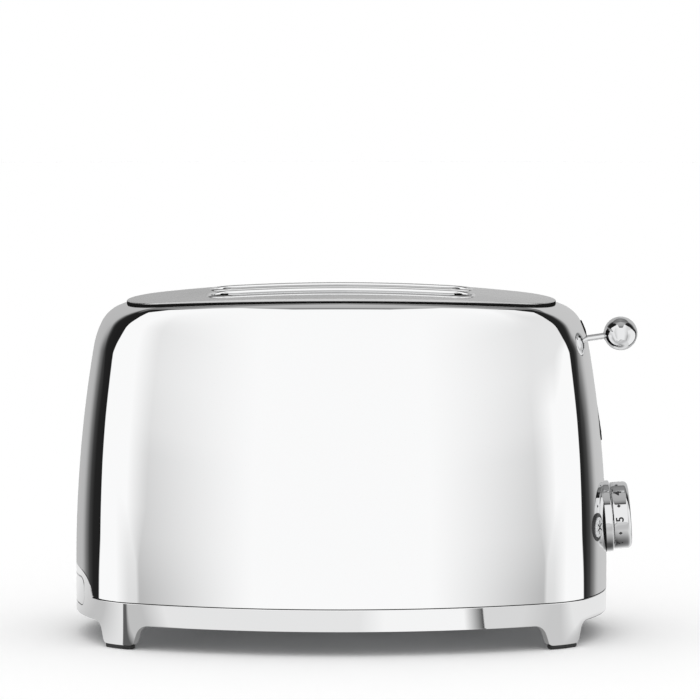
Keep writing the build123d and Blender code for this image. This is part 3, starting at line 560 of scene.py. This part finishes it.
def make_slot_trim():
    """The dark surround of the lever slot, a little proud of the end wall."""
    shares = np.linspace(0, 1, 400)
    long, long_z = np.array([walk(HALF_LENGTH, END_UPRIGHT, end_profile(), share, 0) for share in shares]).T
    deep = np.array([walk(HALF_DEPTH, FRONT_UPRIGHT, front_profile(), share, 0)[0] for share in shares])

    def wall(y, z):
        reach, radius = np.interp(z, long_z, long), np.interp(z, long_z, deep) * END_SHARE
        return reach - radius + np.sqrt(radius ** 2 - y ** 2)

    rows = []
    for grow, proud in ((0.0, -0.9), (0.0, 0.4), (0.25, 0.65), (1.2, 0.65), (1.5, 0.4), (1.5, -0.9)):
        y, z = lever_slot(LEVER_SLOT_HALF + grow, 96)
        x = wall(y, z)
        slope = np.column_stack([np.ones_like(x), x - wall(y + 1, z), x - wall(y, z + 1)])
        out = slope / np.linalg.norm(slope, axis=1)[:, None]
        rows.append(np.column_stack([x, y, z]) + out * proud)
    return dress(from_grid("slot_trim", rows, loop_rows=True), MATT, "housing")


# ---- base skirt with its legs and hump ----
LEG_TURN = radians(36)
SKIRT_LOW, SKIRT_WALL = 11.0, 6.0
PAD_TOP = FLOOR_Z + 2.2
CORNER_X, CORNER_Y, CORNER_RADIUS = plan_arcs(HALF_LENGTH, HALF_DEPTH, 0)[1][:3]


def leg_frames():
    """For each leg its two signs, its corner's centre, and the ways along the skirt and out."""
    for sx in (-1, 1):
        for sy in (-1, 1):
            out = Vector((sx * sin(LEG_TURN), sy * cos(LEG_TURN), 0))
            along = Vector((cos(LEG_TURN) * sx, -sin(LEG_TURN) * sy, 0))
            yield sx, sy, Vector((sx * CORNER_X, sy * CORNER_Y, 0)), along, out


def leg_depth(t):
    """Height of the skirt's lower edge at a distance along a leg from its middle line."""
    half, flare, big, toe = 10.5, 4.0, 7.0, 3.0
    drop = SKIRT_LOW - PAD_TOP
    slope = atan2(drop, flare)
    t = np.abs(t)
    toe_back = toe * tan(slope / 2)
    big_back = big * tan(slope / 2)
    top_x = half + flare
    toe_x0, toe_x1 = half - toe_back, half + toe_back * cos(slope)
    big_x0, big_x1 = top_x - big_back * cos(slope), top_x + big_back
    return np.select([t <= toe_x0, t <= toe_x1, t <= big_x0, t <= big_x1], [
        np.full_like(t, PAD_TOP),
        PAD_TOP + toe - np.sqrt(np.maximum(toe ** 2 - (t - toe_x0) ** 2, 0)),
        PAD_TOP + (t - half) * tan(slope),
        SKIRT_LOW - big + np.sqrt(np.maximum(big ** 2 - (big_x1 - t) ** 2, 0)),
    ], SKIRT_LOW)


def skirt_columns(step=1.3):
    """Plan points, normals, and low and high edges of the skirt, closer where an edge climbs."""
    pts, normals = oval_points(HALF_LENGTH, HALF_DEPTH, 0, (700, 900, 700))
    low = np.full(len(pts), SKIRT_LOW)
    for _, _, centre, along, out in leg_frames():
        middle = centre + out * CORNER_RADIUS
        near = np.hypot(pts[:, 0] - middle.x, pts[:, 1] - middle.y) < 40
        t = (pts[:, 0] - middle.x) * along.x + (pts[:, 1] - middle.y) * along.y
        low[near] = np.minimum(low[near], leg_depth(t[near]))
    high = np.full(len(pts), SEAM_Z)
    line = hump_line(0)[::-1]
    hump = (pts[:, 0] < -100) & (np.abs(pts[:, 1]) < HUMP_HALF)
    high[hump] = np.interp(np.abs(pts[hump, 1]), line[:, 0], line[:, 1])
    metric = np.hypot(*np.diff(pts, axis=0, append=pts[:1]).T)
    for edge in (low, high):
        metric = metric + 0.9 * np.abs(np.diff(edge, append=edge[:1]))
    run = np.concatenate([[0], np.cumsum(metric)])[:-1]
    picks = np.unique(np.searchsorted(run, np.arange(0, run[-1], step)))
    picks = picks[picks < len(pts)]
    return pts[picks], normals[picks], low[picks], high[picks]


def make_skirt():
    pts, normals, low, high = skirt_columns()
    raised = np.clip((high - SEAM_Z) / 1.0, 0, 1)
    step_in = 0.6 * (1 - raised) + 0.35 * raised
    step_down = 0.5 * (1 - raised)
    rows = []

    def row(inset, z):
        inset = np.broadcast_to(inset, low.shape)
        rows.append(np.column_stack([pts - normals * inset[:, None], np.broadcast_to(z, low.shape)]))

    lip = high - step_down
    row(0.45, low)
    row(0.13, low + 0.13)
    row(0.0, low + 0.45)
    for k in range(8):
        row(0.0, low + 0.6 + (lip - 1.0 - low) * k / 7)
    row(0.0, lip - 0.25)
    row(0.07, lip - 0.07)
    row(0.3, lip)
    row(step_in, lip)
    row(step_in, high)
    row(SKIRT_WALL, high)
    for k in range(1, 4):
        row(SKIRT_WALL, high + (low + 0.3 - high) * k / 4)
    row(SKIRT_WALL, low + 0.3)
    row(SKIRT_WALL - 0.3, low)
    skirt = from_grid("skirt", rows, loop_rows=True, sharp=38)
    mouth = rounded_rectangle(37.3, 16.4, 33.3, 6.3)
    gland = [(0, -20), (4.15, -20), (4.15, 5), (0, 5)]
    cut(skirt, [
        prism("cut_mouth", [(-130, y, z) for y, z in mouth], (-1, 0, 0), 40),
        lathe("cut_gland", gland, (0, HALF_DEPTH, 18.4), (0, 1, 0), 48),
    ])
    return dress(skirt, SATIN, "housing", ["base_skirt"])


def make_seam():
    """A matt black ring in the skirt's rebate, between the shell and the skirt: painted shade in the joint's
    gap.
    """
    pts, normals = oval_points(HALF_LENGTH, HALF_DEPTH, 0, (68, 68, 44))
    rows = [
        np.column_stack([pts - normals * inset, np.full(len(pts), SEAM_Z - down)])
        for inset, down in ((0.22, 0.48), (0.22, 0.02), (0.58, 0.02), (0.58, 0.48))
    ]
    return dress(from_grid("seam_painted_shade", rows, loop_rows=True), MATT, "housing")


def rounded_rectangle(half_width, low, high, radius, steps=8, along=1, upright=1):
    """Closed outline as (across, up) pairs, anticlockwise, with its straight sides divided."""
    corners = [
        (half_width - radius, high - radius, 0), (-half_width + radius, high - radius, pi / 2),
        (-half_width + radius, low + radius, pi), (half_width - radius, low + radius, 1.5 * pi),
    ]
    outline = []
    for index, (x, z, a) in enumerate(corners):
        outline += arc(x, z, radius, radius, a, a + pi / 2, steps + 1)
        x0, z0 = outline[-1]
        if index % 2 == 0:
            outline += [(x0 + (-x - x0) * k / along, z0) for k in range(1, along)]
        else:
            outline += [(x0, z0 + (low + high - z - z0) * k / upright) for k in range(1, upright)]
    return outline


def make_tray_front():
    """The crumb tray's front: a panel that carries on the skirt's curve, with eased edges."""
    half, low, high, thick, corner = 37.0, 16.7, 33.0, 2.5, 6.0
    radius = HALF_DEPTH * END_SHARE
    centre = HALF_LENGTH - radius
    middle = (high - low) / 2
    rows = []
    for inset, shrink in (
        (thick, middle), (thick, 0), (0.45, 0), (0.13, 0.1),
        (0, 0.45), (0, 0.8), (0, 2.2), (0, 4.6), (0, 7.2), (0, middle),
    ):
        ring = rounded_rectangle(half - shrink, low + shrink, high - shrink, max(corner - shrink, 0), 10, 32)
        rows.append([(-centre - sqrt((radius - inset) ** 2 - y * y), y, z) for y, z in ring])
    panel = from_grid("tray_front", rows, sharp=30)
    return dress(panel, SATIN, "crumb_tray", ["crumb_tray_front"])


def make_pads():
    """Rubber pads under the legs, rounded underneath and eased at their ends."""
    half_length, end, half_width, r = 9.4, 1.8, 2.75, 0.9
    for sx, sy, centre, along, out in leg_frames():
        rows = []
        for t in np.linspace(-half_length, half_length, 40):
            past = max(0.0, (abs(t) - half_length + end) / end)
            ease = 1 - sqrt(max(0.0, 1 - past * past))
            angle = t / (CORNER_RADIUS - 3)
            direction = out * cos(angle) + along * sin(angle)
            half = half_width - 1.3 * ease
            low = FLOOR_Z + r
            outline = [(-half, PAD_TOP), (-half, low)]
            outline += arc(-half + r, low, r, r, pi + 0.3, 1.5 * pi, 5)
            outline += arc(half - r, low, r, r, -pi / 2, -0.3, 5)
            outline += [(half, low), (half, PAD_TOP)]
            section = []
            for across, z in outline:
                p = centre + direction * (CORNER_RADIUS - 3 + across)
                section.append((p.x, p.y, z + ease * 0.9 * (1 if z < FLOOR_Z + 0.5 else 0)))
            rows.append(section)
        name = ("front" if sy < 0 else "rear") + ("_left" if sx < 0 else "_right")
        pad = from_grid("pad_" + name, rows, caps=True, sharp=40)
        dress(pad, RUBBER, "housing", ["foot_pad_" + name])


# ---- top plate and slot lips ----
PLATE_GAP, PLATE_THICKNESS, PLATE_OVERLAP = 0.22, 2.0, 0.7
CROSS_CROWN = 1500.0
SLOT_ACROSS = 23.0
RIM_A, RIM_B = walk(HALF_LENGTH, END_UPRIGHT, end_profile(), 1, 0)[0], RIM_HALF_DEPTH
FRONT_DROP = CROSS_CROWN - sqrt(CROSS_CROWN ** 2 - RIM_B ** 2)
PLATE_TOP = RIM_FRONT_Z + PLATE_GAP + PLATE_THICKNESS + FRONT_DROP
END_DROP = RIM_FRONT_Z - RIM_END_Z + FRONT_DROP
LONG_CROWN = (RIM_A ** 2 + END_DROP ** 2) / (2 * END_DROP)


def crown(x, y, depth=0.0):
    """Height of the top plate's crowned surface, less a depth."""
    along = np.sqrt((LONG_CROWN - depth) ** 2 - np.square(x)) - LONG_CROWN
    reach = CROSS_CROWN + along
    return PLATE_TOP - CROSS_CROWN + np.sqrt(reach ** 2 - np.square(y))


def slot_outline(grow, side):
    """A bread slot's outline, made larger all round."""
    middle, half = side * SLOT_ACROSS, 16.0 + grow
    return np.array(rounded_rectangle(75.0 + grow, middle - half, middle + half, 13.0 + grow, 12, 30, 3))


def below_crown(p, depth):
    """Plan points set at a depth below the plate's crowned surface."""
    return np.column_stack([p, crown(p[:, 0], p[:, 1]) - depth])


def make_plate():
    edge, normals = oval_points(RIM_A + PLATE_OVERLAP, RIM_B + PLATE_OVERLAP, 0, (40, 24, 16))
    scales = (0.0005, 0.12, 0.25, 0.4, 0.55, 0.7, 0.82, 0.91, 0.97)
    rows = [below_crown(edge * scale, 0.0) for scale in scales]
    for inset, depth in ((0.5, 0.0), (0.15, 0.12), (0.0, 0.45), (0.0, 1.6), (0.15, 1.88), (0.5, 2.0)):
        rows.append(below_crown(edge - normals * inset, depth))
    rows += [below_crown(edge * scale, PLATE_THICKNESS) for scale in (0.97, 0.8, 0.6, 0.4, 0.2, 0.0005)]
    plate = from_grid("plate", rows, caps=True, sharp=40)
    slots = [[(x, y, 170) for x, y in slot_outline(2.0, side)] for side, _ in SIDES]
    cut(plate, [prism("cut_bread", slot, (0, 0, 1), 50) for slot in slots])
    return dress(plate, BRUSHED, "housing", ["top_plate"])


def make_plate_seal():
    """A matt black band round the plate's lower edge, in the gap under it: painted shade, taller towards the
    plate's ends.
    """
    edge, normals = oval_points(RIM_A + PLATE_OVERLAP, RIM_B + PLATE_OVERLAP, 0, (68, 68, 44))
    rows = []
    upper = 1.55 - 1.15 * np.square(edge[:, 0] / RIM_A)
    for out, depth in ((0.04, upper), (0.08, upper + 0.08), (0.08, 2.12), (-0.6, 2.12), (-0.6, upper)):
        rows.append(below_crown(edge + normals * out, depth))
    return dress(from_grid("plate_edge_painted_shade", rows, loop_rows=True), MATT, "housing")


def make_lips():
    """Polished rims of the bread slots, rolled over at the top."""
    profile = [(0.0, -7.6), (0.0, -3.0), (0.0, 0.1)]
    profile += arc(1.0, 0.1, 1.0, 0.8, pi - 0.25, 0.25, 9)
    profile += [(2.0, 0.1), (2.0, -3.0), (2.0, -7.6)]
    for side, name in SIDES:
        base = slot_outline(1.0, side)
        top = crown(base[:, 0], base[:, 1])
        rows = [np.column_stack([slot_outline(grow, side), top + dz]) for grow, dz in profile]
        lip = from_grid("lip_" + name, rows, loop_rows=True, sharp=40)
        dress(lip, CHROME, "housing", ["slot_lip_" + name])


def make_slot_ends():
    """Matt black strips at the ends of the slots, inside the lips: painted shade where the slots' ends fall
    in shadow.
    """
    for side, name in SIDES:
        for end, place in ((-1, "left"), (1, "right")):
            base = slot_outline(0.0, side)
            shift = 0 if end < 0 else len(base) // 2
            base = np.roll(base, shift, axis=0)
            keep = base[:, 0] * end > 65.0
            top = crown(base[keep, 0], base[keep, 1])
            rows = []
            for grow, dz in ((-0.25, -0.8), (-0.25, -7.2), (-0.02, -7.2), (-0.02, -0.8)):
                line = np.roll(slot_outline(grow, side), shift, axis=0)
                rows.append(np.column_stack([line[keep], top + dz]))
            end_shade = from_grid("slot_end_painted_shade_%s_%s" % (name, place), rows, loop_rows=True, loop_columns=False)
            dress(end_shade, MATT, "housing")


# ---- lever, knob, bezel, buttons ----
def make_lever():
    """Ball with a short neck, and the rod behind it."""
    low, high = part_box("lever_ball")
    centre = (low + high) / 2 * 1000 - Vector((CENTRE_X, 0, LIFT))
    tilt = radians(8.4)
    axis = Vector((cos(tilt), 0, sin(tilt)))
    r, collar = 9.8, 2.6
    start = -sqrt(r * r - collar * collar)
    first = atan2(collar, -start)
    profile = [(1.82, start + 2.5), (1.82, start - 0.35), (collar - 0.3, start - 0.35)]
    profile += [(collar, start - 0.05)] + arc(0, 0, r, r, first - pi / 2, pi / 2, 48)
    profile[-1] = (0, r)
    ball = lathe("ball", profile, centre, axis, 96, 50)
    dress(ball, BRIGHT, "carriage", ["lever_ball"])
    rod_low, rod_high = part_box("lever_rod")
    length = (rod_high.x - rod_low.x) * 1000 / cos(tilt) - 0.6
    profile = [(0, -length), (1.5, -length), (1.8, -length + 0.3), (1.8, -4.9), (1.8, start + 2.0)]
    profile += [(0, start + 2.0)]
    rod = lathe("rod", profile, centre, axis, 48, 40)
    dress(rod, BRIGHT, "carriage", ["lever_rod"])


def make_bezel():
    """Turned ring round the knob; its back follows the wall."""
    profile = [(18.7, 1.8), (18.7, 2.8), (18.85, 3.1), (19.1, 3.2), (19.8, 3.2)]
    profile += arc(19.9, 2.4, 0.8, 0.8, pi / 2, 0, 7)
    profile += [(20.7, 1.0), (20.7, -3.0), (17.8, -3.0), (17.8, -6.0), (3.3, -6.0), (3.3, 1.8)]
    bezel = lathe("bezel", profile + [profile[0]], KNOB_AT, KNOB_AXIS, 128, 35)
    dress(bezel, BRIGHT, "housing", ["knob_bezel"])
    # painted shade: a matt black ring behind the bezel's rim, so the wall beside it mirrors the gap dark
    gap_shade = [(20.2, -2.8), (20.95, -2.8), (20.95, -1.1), (20.2, -1.1)]
    gap_shade = lathe("bezel_painted_shade", gap_shade + [gap_shade[0]], KNOB_AT, KNOB_AXIS, 128, 35)
    dress(gap_shade, MATT, "housing")


KNOB_START, KNOB_LENGTH, KNOB_RADIUS = 3.8, 10.1, 19.4
MARK_STEP, MARK_FOUR = 48.4, 48.3


def make_knob():
    """The knob, with a rounded rim and a shallow dish in its face."""
    start, end, r, ease = KNOB_START, KNOB_START + KNOB_LENGTH, KNOB_RADIUS, 2.6
    profile = [(3.0, start), (r - 0.5, start), (r - 0.12, start + 0.12), (r, start + 0.5)]
    profile += [(r, start + k) for k in (2.0, 4.0, 6.0)]
    profile += arc(r - ease, end - ease, ease, ease, 0, pi / 2, 12)
    profile += [(15.9, end), (15.5, end - 0.25), (15.1, end - 0.7), (14.5, end - 0.8), (9.0, end - 0.8)]
    profile += [(0, end - 0.8)]
    knob = lathe("dial", profile, KNOB_AT, KNOB_AXIS, 128, 35)
    dress(knob, BRIGHT, "knob", ["browning_knob"])


def wrapped(name, mesh, angle, height, proud=0.03):
    """Lays a flat mesh on the knob's rim. Its own up points to the body, and its own right up the rim."""
    work = bmesh.new()
    work.from_mesh(mesh)
    reach = max(abs(v.co.x) for v in work.verts)
    for x in np.arange(-reach, reach, 0.35):
        bmesh.ops.bisect_plane(
            work, geom=work.verts[:] + work.edges[:] + work.faces[:], plane_co=(x, 0, 0), plane_no=(1, 0, 0)
        )
    bmesh.ops.triangulate(work, faces=work.faces)
    for v in work.verts:
        across, up = v.co.x, v.co.y
        turn = angle + across / KNOB_RADIUS
        out = Vector((0, -1, 0)) * cos(turn) + KNOB_UP * sin(turn)
        p = KNOB_AT + KNOB_AXIS * (height - up) + out * (KNOB_RADIUS + proud)
        v.co = spot(*p)
    bmesh.ops.recalc_face_normals(work, faces=work.faces)
    work.to_mesh(mesh)
    work.free()
    mesh.name = name
    return in_scene(name, mesh)


def flat_text(text, size):
    """A flat mesh of plain figures, in millimetres."""
    curve = bpy.data.curves.new("text", "FONT")
    curve.body = text
    curve.size = size
    curve.align_x = "CENTER"
    curve.align_y = "CENTER"
    curve.offset = 0.028 * size
    holder = in_scene("text", curve)
    bpy.context.view_layer.update()
    graph = bpy.context.evaluated_depsgraph_get()
    mesh = bpy.data.meshes.new_from_object(holder.evaluated_get(graph))
    bpy.data.objects.remove(holder)
    return mesh


def make_marks():
    """Plain numbers round the knob's rim, with a lozenge between each two."""
    for number in range(1, 7):
        angle = radians(MARK_FOUR - (number - 4) * MARK_STEP)
        digit = wrapped("mark_%d" % number, flat_text(str(number), 6.2), angle, KNOB_START + 3.6)
        dress(digit, INK, "knob")
        if number == 6:
            continue
        between = angle - radians(MARK_STEP * 0.52)
        mesh = bpy.data.meshes.new("lozenge")
        mesh.from_pydata([(1.0, 0, 0), (0, 1.2, 0), (-1.0, 0, 0), (0, -1.2, 0)], [], [(0, 1, 2, 3)])
        dress(wrapped("lozenge_%d" % number, mesh, between, KNOB_START + 3.4), INK, "knob")


def make_buttons():
    """Each button's dark collar, its domed cap and its sign."""
    for side, name in SIDES:
        at, out = button_place(side)
        ring = [(5.95, -8), (5.95, 0.1), (6.15, 0.35), (6.4, 0.42), (7.7, 0.42)]
        ring += arc(7.7, -0.08, 0.5, 0.5, pi / 2, 0, 5)
        ring += [(8.2, -0.9), (7.4, -0.9), (7.4, -8), (5.95, -8)]
        collar = lathe("button_collar_" + name, ring, at, out, 80)
        dress(collar, DARK, "housing", ["button_ring_" + name])
        cap = [(0, -14), (2.0, -14), (2.0, -7), (5.85, -7), (5.85, 0.6)]
        cap += arc(5.15, 0.6, 0.7, 0.55, 0.2, pi / 2, 6)
        cap += [(3.5, 1.24), (1.8, 1.28), (0, 1.3)]
        cap = lathe("button_cap_" + name, cap, at, out, 80)
        dress(cap, PALE, name + "_button", ["button_" + name])
        make_glyph(at, out, name)


def make_glyph(at, out, name):
    """A plain three-bar star on the front button and a plain ring on the rear one."""
    side = Vector((0, 0, 1)).cross(out).normalized()
    up = out.cross(side).normalized()
    points, faces = [], []
    height = 1.33
    if name == "front":
        for k in range(3):
            a = pi * k / 3 + pi / 2
            along = side * cos(a) + up * sin(a)
            across = side * -sin(a) + up * cos(a)
            base = len(points)
            for s, w in ((-4.0, -0.42), (4.0, -0.42), (4.0, 0.42), (-4.0, 0.42)):
                points.append(tuple(at + out * (height + k * 0.004) + along * s + across * w))
            faces.append(tuple(range(base, base + 4)))
    else:
        n = 40
        for k in range(n):
            a = radians(40) + radians(280) * k / (n - 1) + pi / 2
            direction = side * cos(a) + up * sin(a)
            for r in (2.7, 3.5):
                points.append(tuple(at + out * height + direction * r))
        faces = [(2 * k, 2 * k + 1, 2 * k + 3, 2 * k + 2) for k in range(n - 1)]
    glyph = from_faces("glyph_" + name, points, faces, 30)
    dress(glyph, INK, name + "_button")


# ---- carried-over solids ----
for finish, node_names in (
    (SHEET, "bottom_plate base_screws chassis_screws end_plate_left end_plate_right crumb_tray_pan "
            "carriage_plate keeper_plate bread_rack_front bread_rack_rear magnet_yoke"),
    (WIRE, "knob_shaft guide_rod lift_spring guard_front_outer guard_front_inner guard_rear_outer "
           "guard_rear_inner"),
    (REFLECTOR, "reflector_front reflector_rear"),
    (MICA, "heater_card_front heater_card_centre heater_card_rear"),
    (RIBBON, "heater_winding_front heater_winding_centre heater_winding_rear"),
    (MATT, "lever_slot_liner"),
    (DARK, "carriage_bush potentiometer button_switch_front button_switch_rear"),
    (RUBBER, "cord_gland"), (BOARD, "control_board"), (COPPER, "magnet_coil"),
):
    for node_name in node_names.split():
        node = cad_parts[node_name]
        node.data.materials.clear()
        node.data.materials.append(finish)

make_shell()
make_slot_trim()
make_skirt()
make_seam()
make_tray_front()
make_pads()
make_plate()
make_plate_seal()
make_lips()
make_slot_ends()
make_lever()
make_bezel()
make_knob()
make_marks()
make_buttons()


# ---- floor, and a painted reflection of the table ----
# the glowing disc's brightness round the piece, a painted reflection of the table: where each change starts
# and ends, in degrees from the front, and by how much it rises; behind the front face they run out from its
# focus
PAINTED_TABLE_START = 0.83
PAINTED_TABLE_CORNERS = (
    (-128, -96, -0.28), (-86, -63.5, 0.25), (-60.9, -60.5, -0.69), (-57.6, -55.6, 0.44), (-51.5, -46, 0.28),
    (47.5, 54, -0.11), (62, 76, 0.225),
)
FRONT_FOCUS = 53.0
PAINTED_TABLE_FRONT = ((4, 9.5, 0.14), (27.0, 31.2, -0.90), (31.2, 31.4, 0.645))
# across from the middle, where the painted shadow under the knob is darkest
UNDER_KNOB = 152.0
SHADE_UNDER = 0.24


def mirrored(name, points, nodes, level):
    """A glowing disc that only reflections see: a painted reflection, not a lamp."""
    nodes.set(Base_Color=(0.0, 0.0, 0.0), Specular_IOR_Level=0.0, Emission_Color=(1.0, 1.0, 1.0))
    nodes.set(Emission_Strength=level)
    nodes.material.cycles.emission_sampling = "NONE"
    disc = from_faces(name, points, [tuple(range(len(points)))])
    disc.data.materials.append(nodes.material)
    for kind in ("camera", "diffuse", "transmission", "volume_scatter", "shadow"):
        setattr(disc, "visible_" + kind, False)
    return disc


def make_floor():
    """White paper, and a glowing disc that only reflections see: a painted reflection of the table near the
    piece as the skirt mirrors it, light and dark by turns.
    """
    m = Nodes("floor_paper")
    m.set(Base_Color=(1.0, 1.0, 1.0), Roughness=1.0, Specular_IOR_Level=0.0)
    paper = from_faces("paper", [
        (6000 * cos(2 * pi * k / 96), 6000 * sin(2 * pi * k / 96), FLOOR_Z) for k in range(96)
    ], [tuple(range(96))])
    paper.data.materials.append(m.material)
    paper.visible_glossy = False

    t = Nodes("table_painted_reflection")
    math = t.math
    parts = t.add("ShaderNodeSeparateXYZ", Vector=t.coordinates())
    across = math("SUBTRACT", math("MULTIPLY", parts.outputs["X"], 1000.0), CENTRE_X)
    forward = math("MULTIPLY", parts.outputs["Y"], -1000.0)
    level = PAINTED_TABLE_START
    for origin, steps in ((0.0, PAINTED_TABLE_CORNERS), (FRONT_FOCUS, PAINTED_TABLE_FRONT)):
        turn = math("DEGREES", math("ARCTAN2", across, math("ADD", forward, origin)))
        for low, high, rise in steps:
            level = math("ADD", level, t.spread(turn, 0.0, rise, low, high))
    # painted shadow: the disc's level falls towards a point on the floor under the knob
    aside = math("POWER", math("SUBTRACT", across, UNDER_KNOB), 2.0)
    reach = math("SQRT", math("ADD", aside, math("POWER", forward, 2.0)))
    level = math("MULTIPLY", level, t.spread(reach, 0.1, 1.0, 14.0, 76.0))

    # its edge is where the camera's rays land off the seam, and off the hump's top at the left end
    pts, normals = oval_points(HALF_LENGTH, HALF_DEPTH, 0)
    ring = []
    line = hump_line(0)[::-1]
    for (x, y), (nx, ny) in zip(pts, normals):
        away = hypot(x - CAMERA_X, y - CAMERA_Y)
        vx, vy = (x - CAMERA_X) / away, (y - CAMERA_Y) / away
        facing = vx * nx + vy * ny
        if facing > -1e-6:
            continue
        top = SEAM_Z
        if x < 0 and abs(y) < HUMP_HALF:
            top = float(np.interp(abs(y), line[:, 0], line[:, 1]))
        run = (top - FLOOR_Z) * away / (CAMERA_Z - top)
        ring.append((x + run * (vx - 2 * facing * nx), y + run * (vy - 2 * facing * ny), FLOOR_Z - 0.1))
    ring.sort(key=lambda p: atan2(p[0], -p[1]))
    # painted reflection: the disc glows at the level above and is seen only in the metal
    table = mirrored("table", ring, t, level)
    # painted shadow: a dim glowing disc under the body that only reflections see
    shade = [(x, y, FLOOR_Z - 0.05) for x, y in oval_points(HALF_LENGTH, HALF_DEPTH, 6)[0]]
    under = mirrored("table_under", shade, Nodes("table_in_shade"), SHADE_UNDER)


make_floor()


# ---- studio: what the polished metal reflects, by direction ----
def make_world():
    """Reflections see a panelled room, surfaces get a soft light from above, and the camera sees white."""
    world = bpy.data.worlds.new("studio")
    bpy.context.scene.world = world
    world.use_nodes = True
    world.node_tree.nodes.clear()
    w = Tree(world.node_tree)
    math = w.math

    def ramp(value, stops):
        made = w.add("ShaderNodeValToRGB", Fac=value)
        elements = made.color_ramp.elements
        while len(elements) > 1:
            elements.remove(elements[-1])
        for index, (position, level) in enumerate(stops):
            stop = elements[0] if index == 0 else elements.new(position)
            stop.position = position
            stop.color = (level, level, level, 1)
        return made.outputs[0]

    where = w.add("ShaderNodeTexCoord").outputs["Generated"]
    x, y, z = w.add("ShaderNodeSeparateXYZ", Vector=where).outputs
    azimuth = math("DEGREES", math("ARCTAN2", math("ABSOLUTE", x), math("MULTIPLY", y, -1.0)))
    elevation = math("DEGREES", math("ARCSINE", z))

    def between(value, low, high):
        """Nought at low, one at high, and straight between them; either end may be a socket."""
        return w.spread(value, 0.0, 1.0, low, high)

    def curve(value, stops, top=1.0):
        """A broken line through stops; their levels may run up to a top."""
        low, high = stops[0][0], stops[-1][0]
        line = [((at - low) / (high - low), level / top) for at, level in stops]
        return math("MULTIPLY", ramp(between(value, low, high), line), top)

    def blend(first, second, share):
        return math("ADD", first, math("MULTIPLY", math("SUBTRACT", second, first), share))

    def part_way(level, share):
        """One where the share is nought, and the level where it is one."""
        return math("SUBTRACT", 1.0, math("MULTIPLY", math("SUBTRACT", 1.0, level), share))

    right = math("GREATER_THAN", x, 0.0)

    # the wide front panel, shaded towards its edges, and the two side panels beyond them
    shade = curve(elevation, [
        (-15, 0.42), (-12, 0.44), (-8, 0.52), (-4, 0.585), (0, 0.64), (8, 0.675), (12, 0.695),
        (16, 0.76), (24, 0.81), (32, 0.81), (36, 0.86), (40, 0.93), (46, 1.0), (60, 1.0),
    ])
    near_edge = math("POWER", between(azimuth, 20.0, 47.0), 1.2)
    front = part_way(shade, near_edge)
    halo = curve(elevation, [(-15, 0.68), (-12, 0.70), (-4, 0.79), (0, 0.88), (4, 1.0), (60, 1.0)])
    side = part_way(halo, between(azimuth, 75.0, 48.0))
    upper_right = curve(elevation, [(0, 1.0), (18, 1.0), (24, 0.82), (40, 0.80), (52, 0.95), (60, 1.0)])
    side = math("MULTIPLY", side, part_way(upper_right, right))
    soften = between(elevation, -4.0, 4.0)
    edge_low = math("SUBTRACT", 47.6, math("MULTIPLY", soften, 1.9))
    edge_high = math("ADD", 48.4, math("MULTIPLY", soften, 2.6))
    panels = blend(front, side, between(azimuth, edge_low, edge_high))

    # the side panels lean, so their outer edges come forward with height; behind them the room is
    # black, then brightens towards the back
    outer_edge = curve(elevation, [
        (-20, 123), (-12, 121), (-8, 118.5), (0, 112.5), (4, 108), (8, 102.5), (12, 97.5), (16, 93.2),
        (20, 89.5), (24, 85), (28, 81.5), (32, 79.5), (36, 77), (40, 72), (48, 64), (52, 60), (70, 50),
    ], 180.0)
    rise = between(elevation, 0.0, 16.0)
    middle_left = math("SUBTRACT", 138.5, math("MULTIPLY", rise, 8.0))
    middle_right = math("SUBTRACT", 133.0, math("MULTIPLY", rise, 18.0))
    past = math("SUBTRACT", azimuth, blend(middle_left, middle_right, right))
    back = curve(past, [
        (-30, 0.014), (-12, 0.017), (-6, 0.05), (0, 0.20), (5, 0.40), (9, 0.48), (20, 0.50), (60, 0.50),
    ])
    back = math("MULTIPLY", back, math("ADD", 1.0, math("MULTIPLY", right, 0.16)))
    inside = between(math("SUBTRACT", outer_edge, azimuth), -0.5, 0.5)
    around = blend(back, panels, inside)

    # the panels' tops, a dark gap over them, and the grey ceiling
    panel_top = curve(azimuth, [(0, 44), (14, 44), (40, 62), (90, 62), (110, 50), (180, 50)], 100.0)
    ceiling = curve(elevation, [
        (30, 0.06), (41, 0.05), (47, 0.06), (50, 0.25), (54, 0.34), (60, 0.46), (72, 0.50), (90, 0.52),
    ])
    dim = curve(azimuth, [(0, 1.0), (60, 1.0), (90, 0.6), (120, 0.4), (180, 0.6)])
    ceiling = math("MULTIPLY", ceiling, dim)
    above = between(math("SUBTRACT", elevation, panel_top), -1.5, 1.5)
    level = blend(around, ceiling, above)

    def light(strength=None):
        """A white background of a strength."""
        return w.add("ShaderNodeBackground", Color=(1, 1, 1, 1), Strength=strength).outputs[0]

    fill = math("ADD", 0.20, math("MULTIPLY", math("POWER", math("MAXIMUM", z, 0.0), 2.0), 1.60))
    rays = w.add("ShaderNodeLightPath").outputs
    mirror_rays = math("MAXIMUM", rays["Is Glossy Ray"], rays["Is Transmission Ray"])
    unseen = w.chain("ShaderNodeMixShader", (mirror_rays, light(fill), light(level)))
    seen = w.chain("ShaderNodeMixShader", (rays["Is Camera Ray"], unseen, light()))
    w.add("ShaderNodeOutputWorld", Surface=seen)


make_world()


# ---- camera ----
FOCAL_PIXELS, IMAGE_PIXELS, SENSOR, LOOK_DOWN = 4149.9, 700.0, 36.0, 0.0910
camera_data = bpy.data.cameras.new("camera")
camera = in_scene("camera", camera_data)
camera_data.sensor_width = SENSOR
camera_data.lens = FOCAL_PIXELS * SENSOR / IMAGE_PIXELS
camera_data.clip_end = 50.0
camera.location = spot(CAMERA_X, CAMERA_Y, CAMERA_Z)
camera.rotation_euler = (pi / 2 - LOOK_DOWN, 0.0, 0.0)
bpy.context.scene.camera = camera
bpy.context.scene.view_settings.view_transform = "Standard"
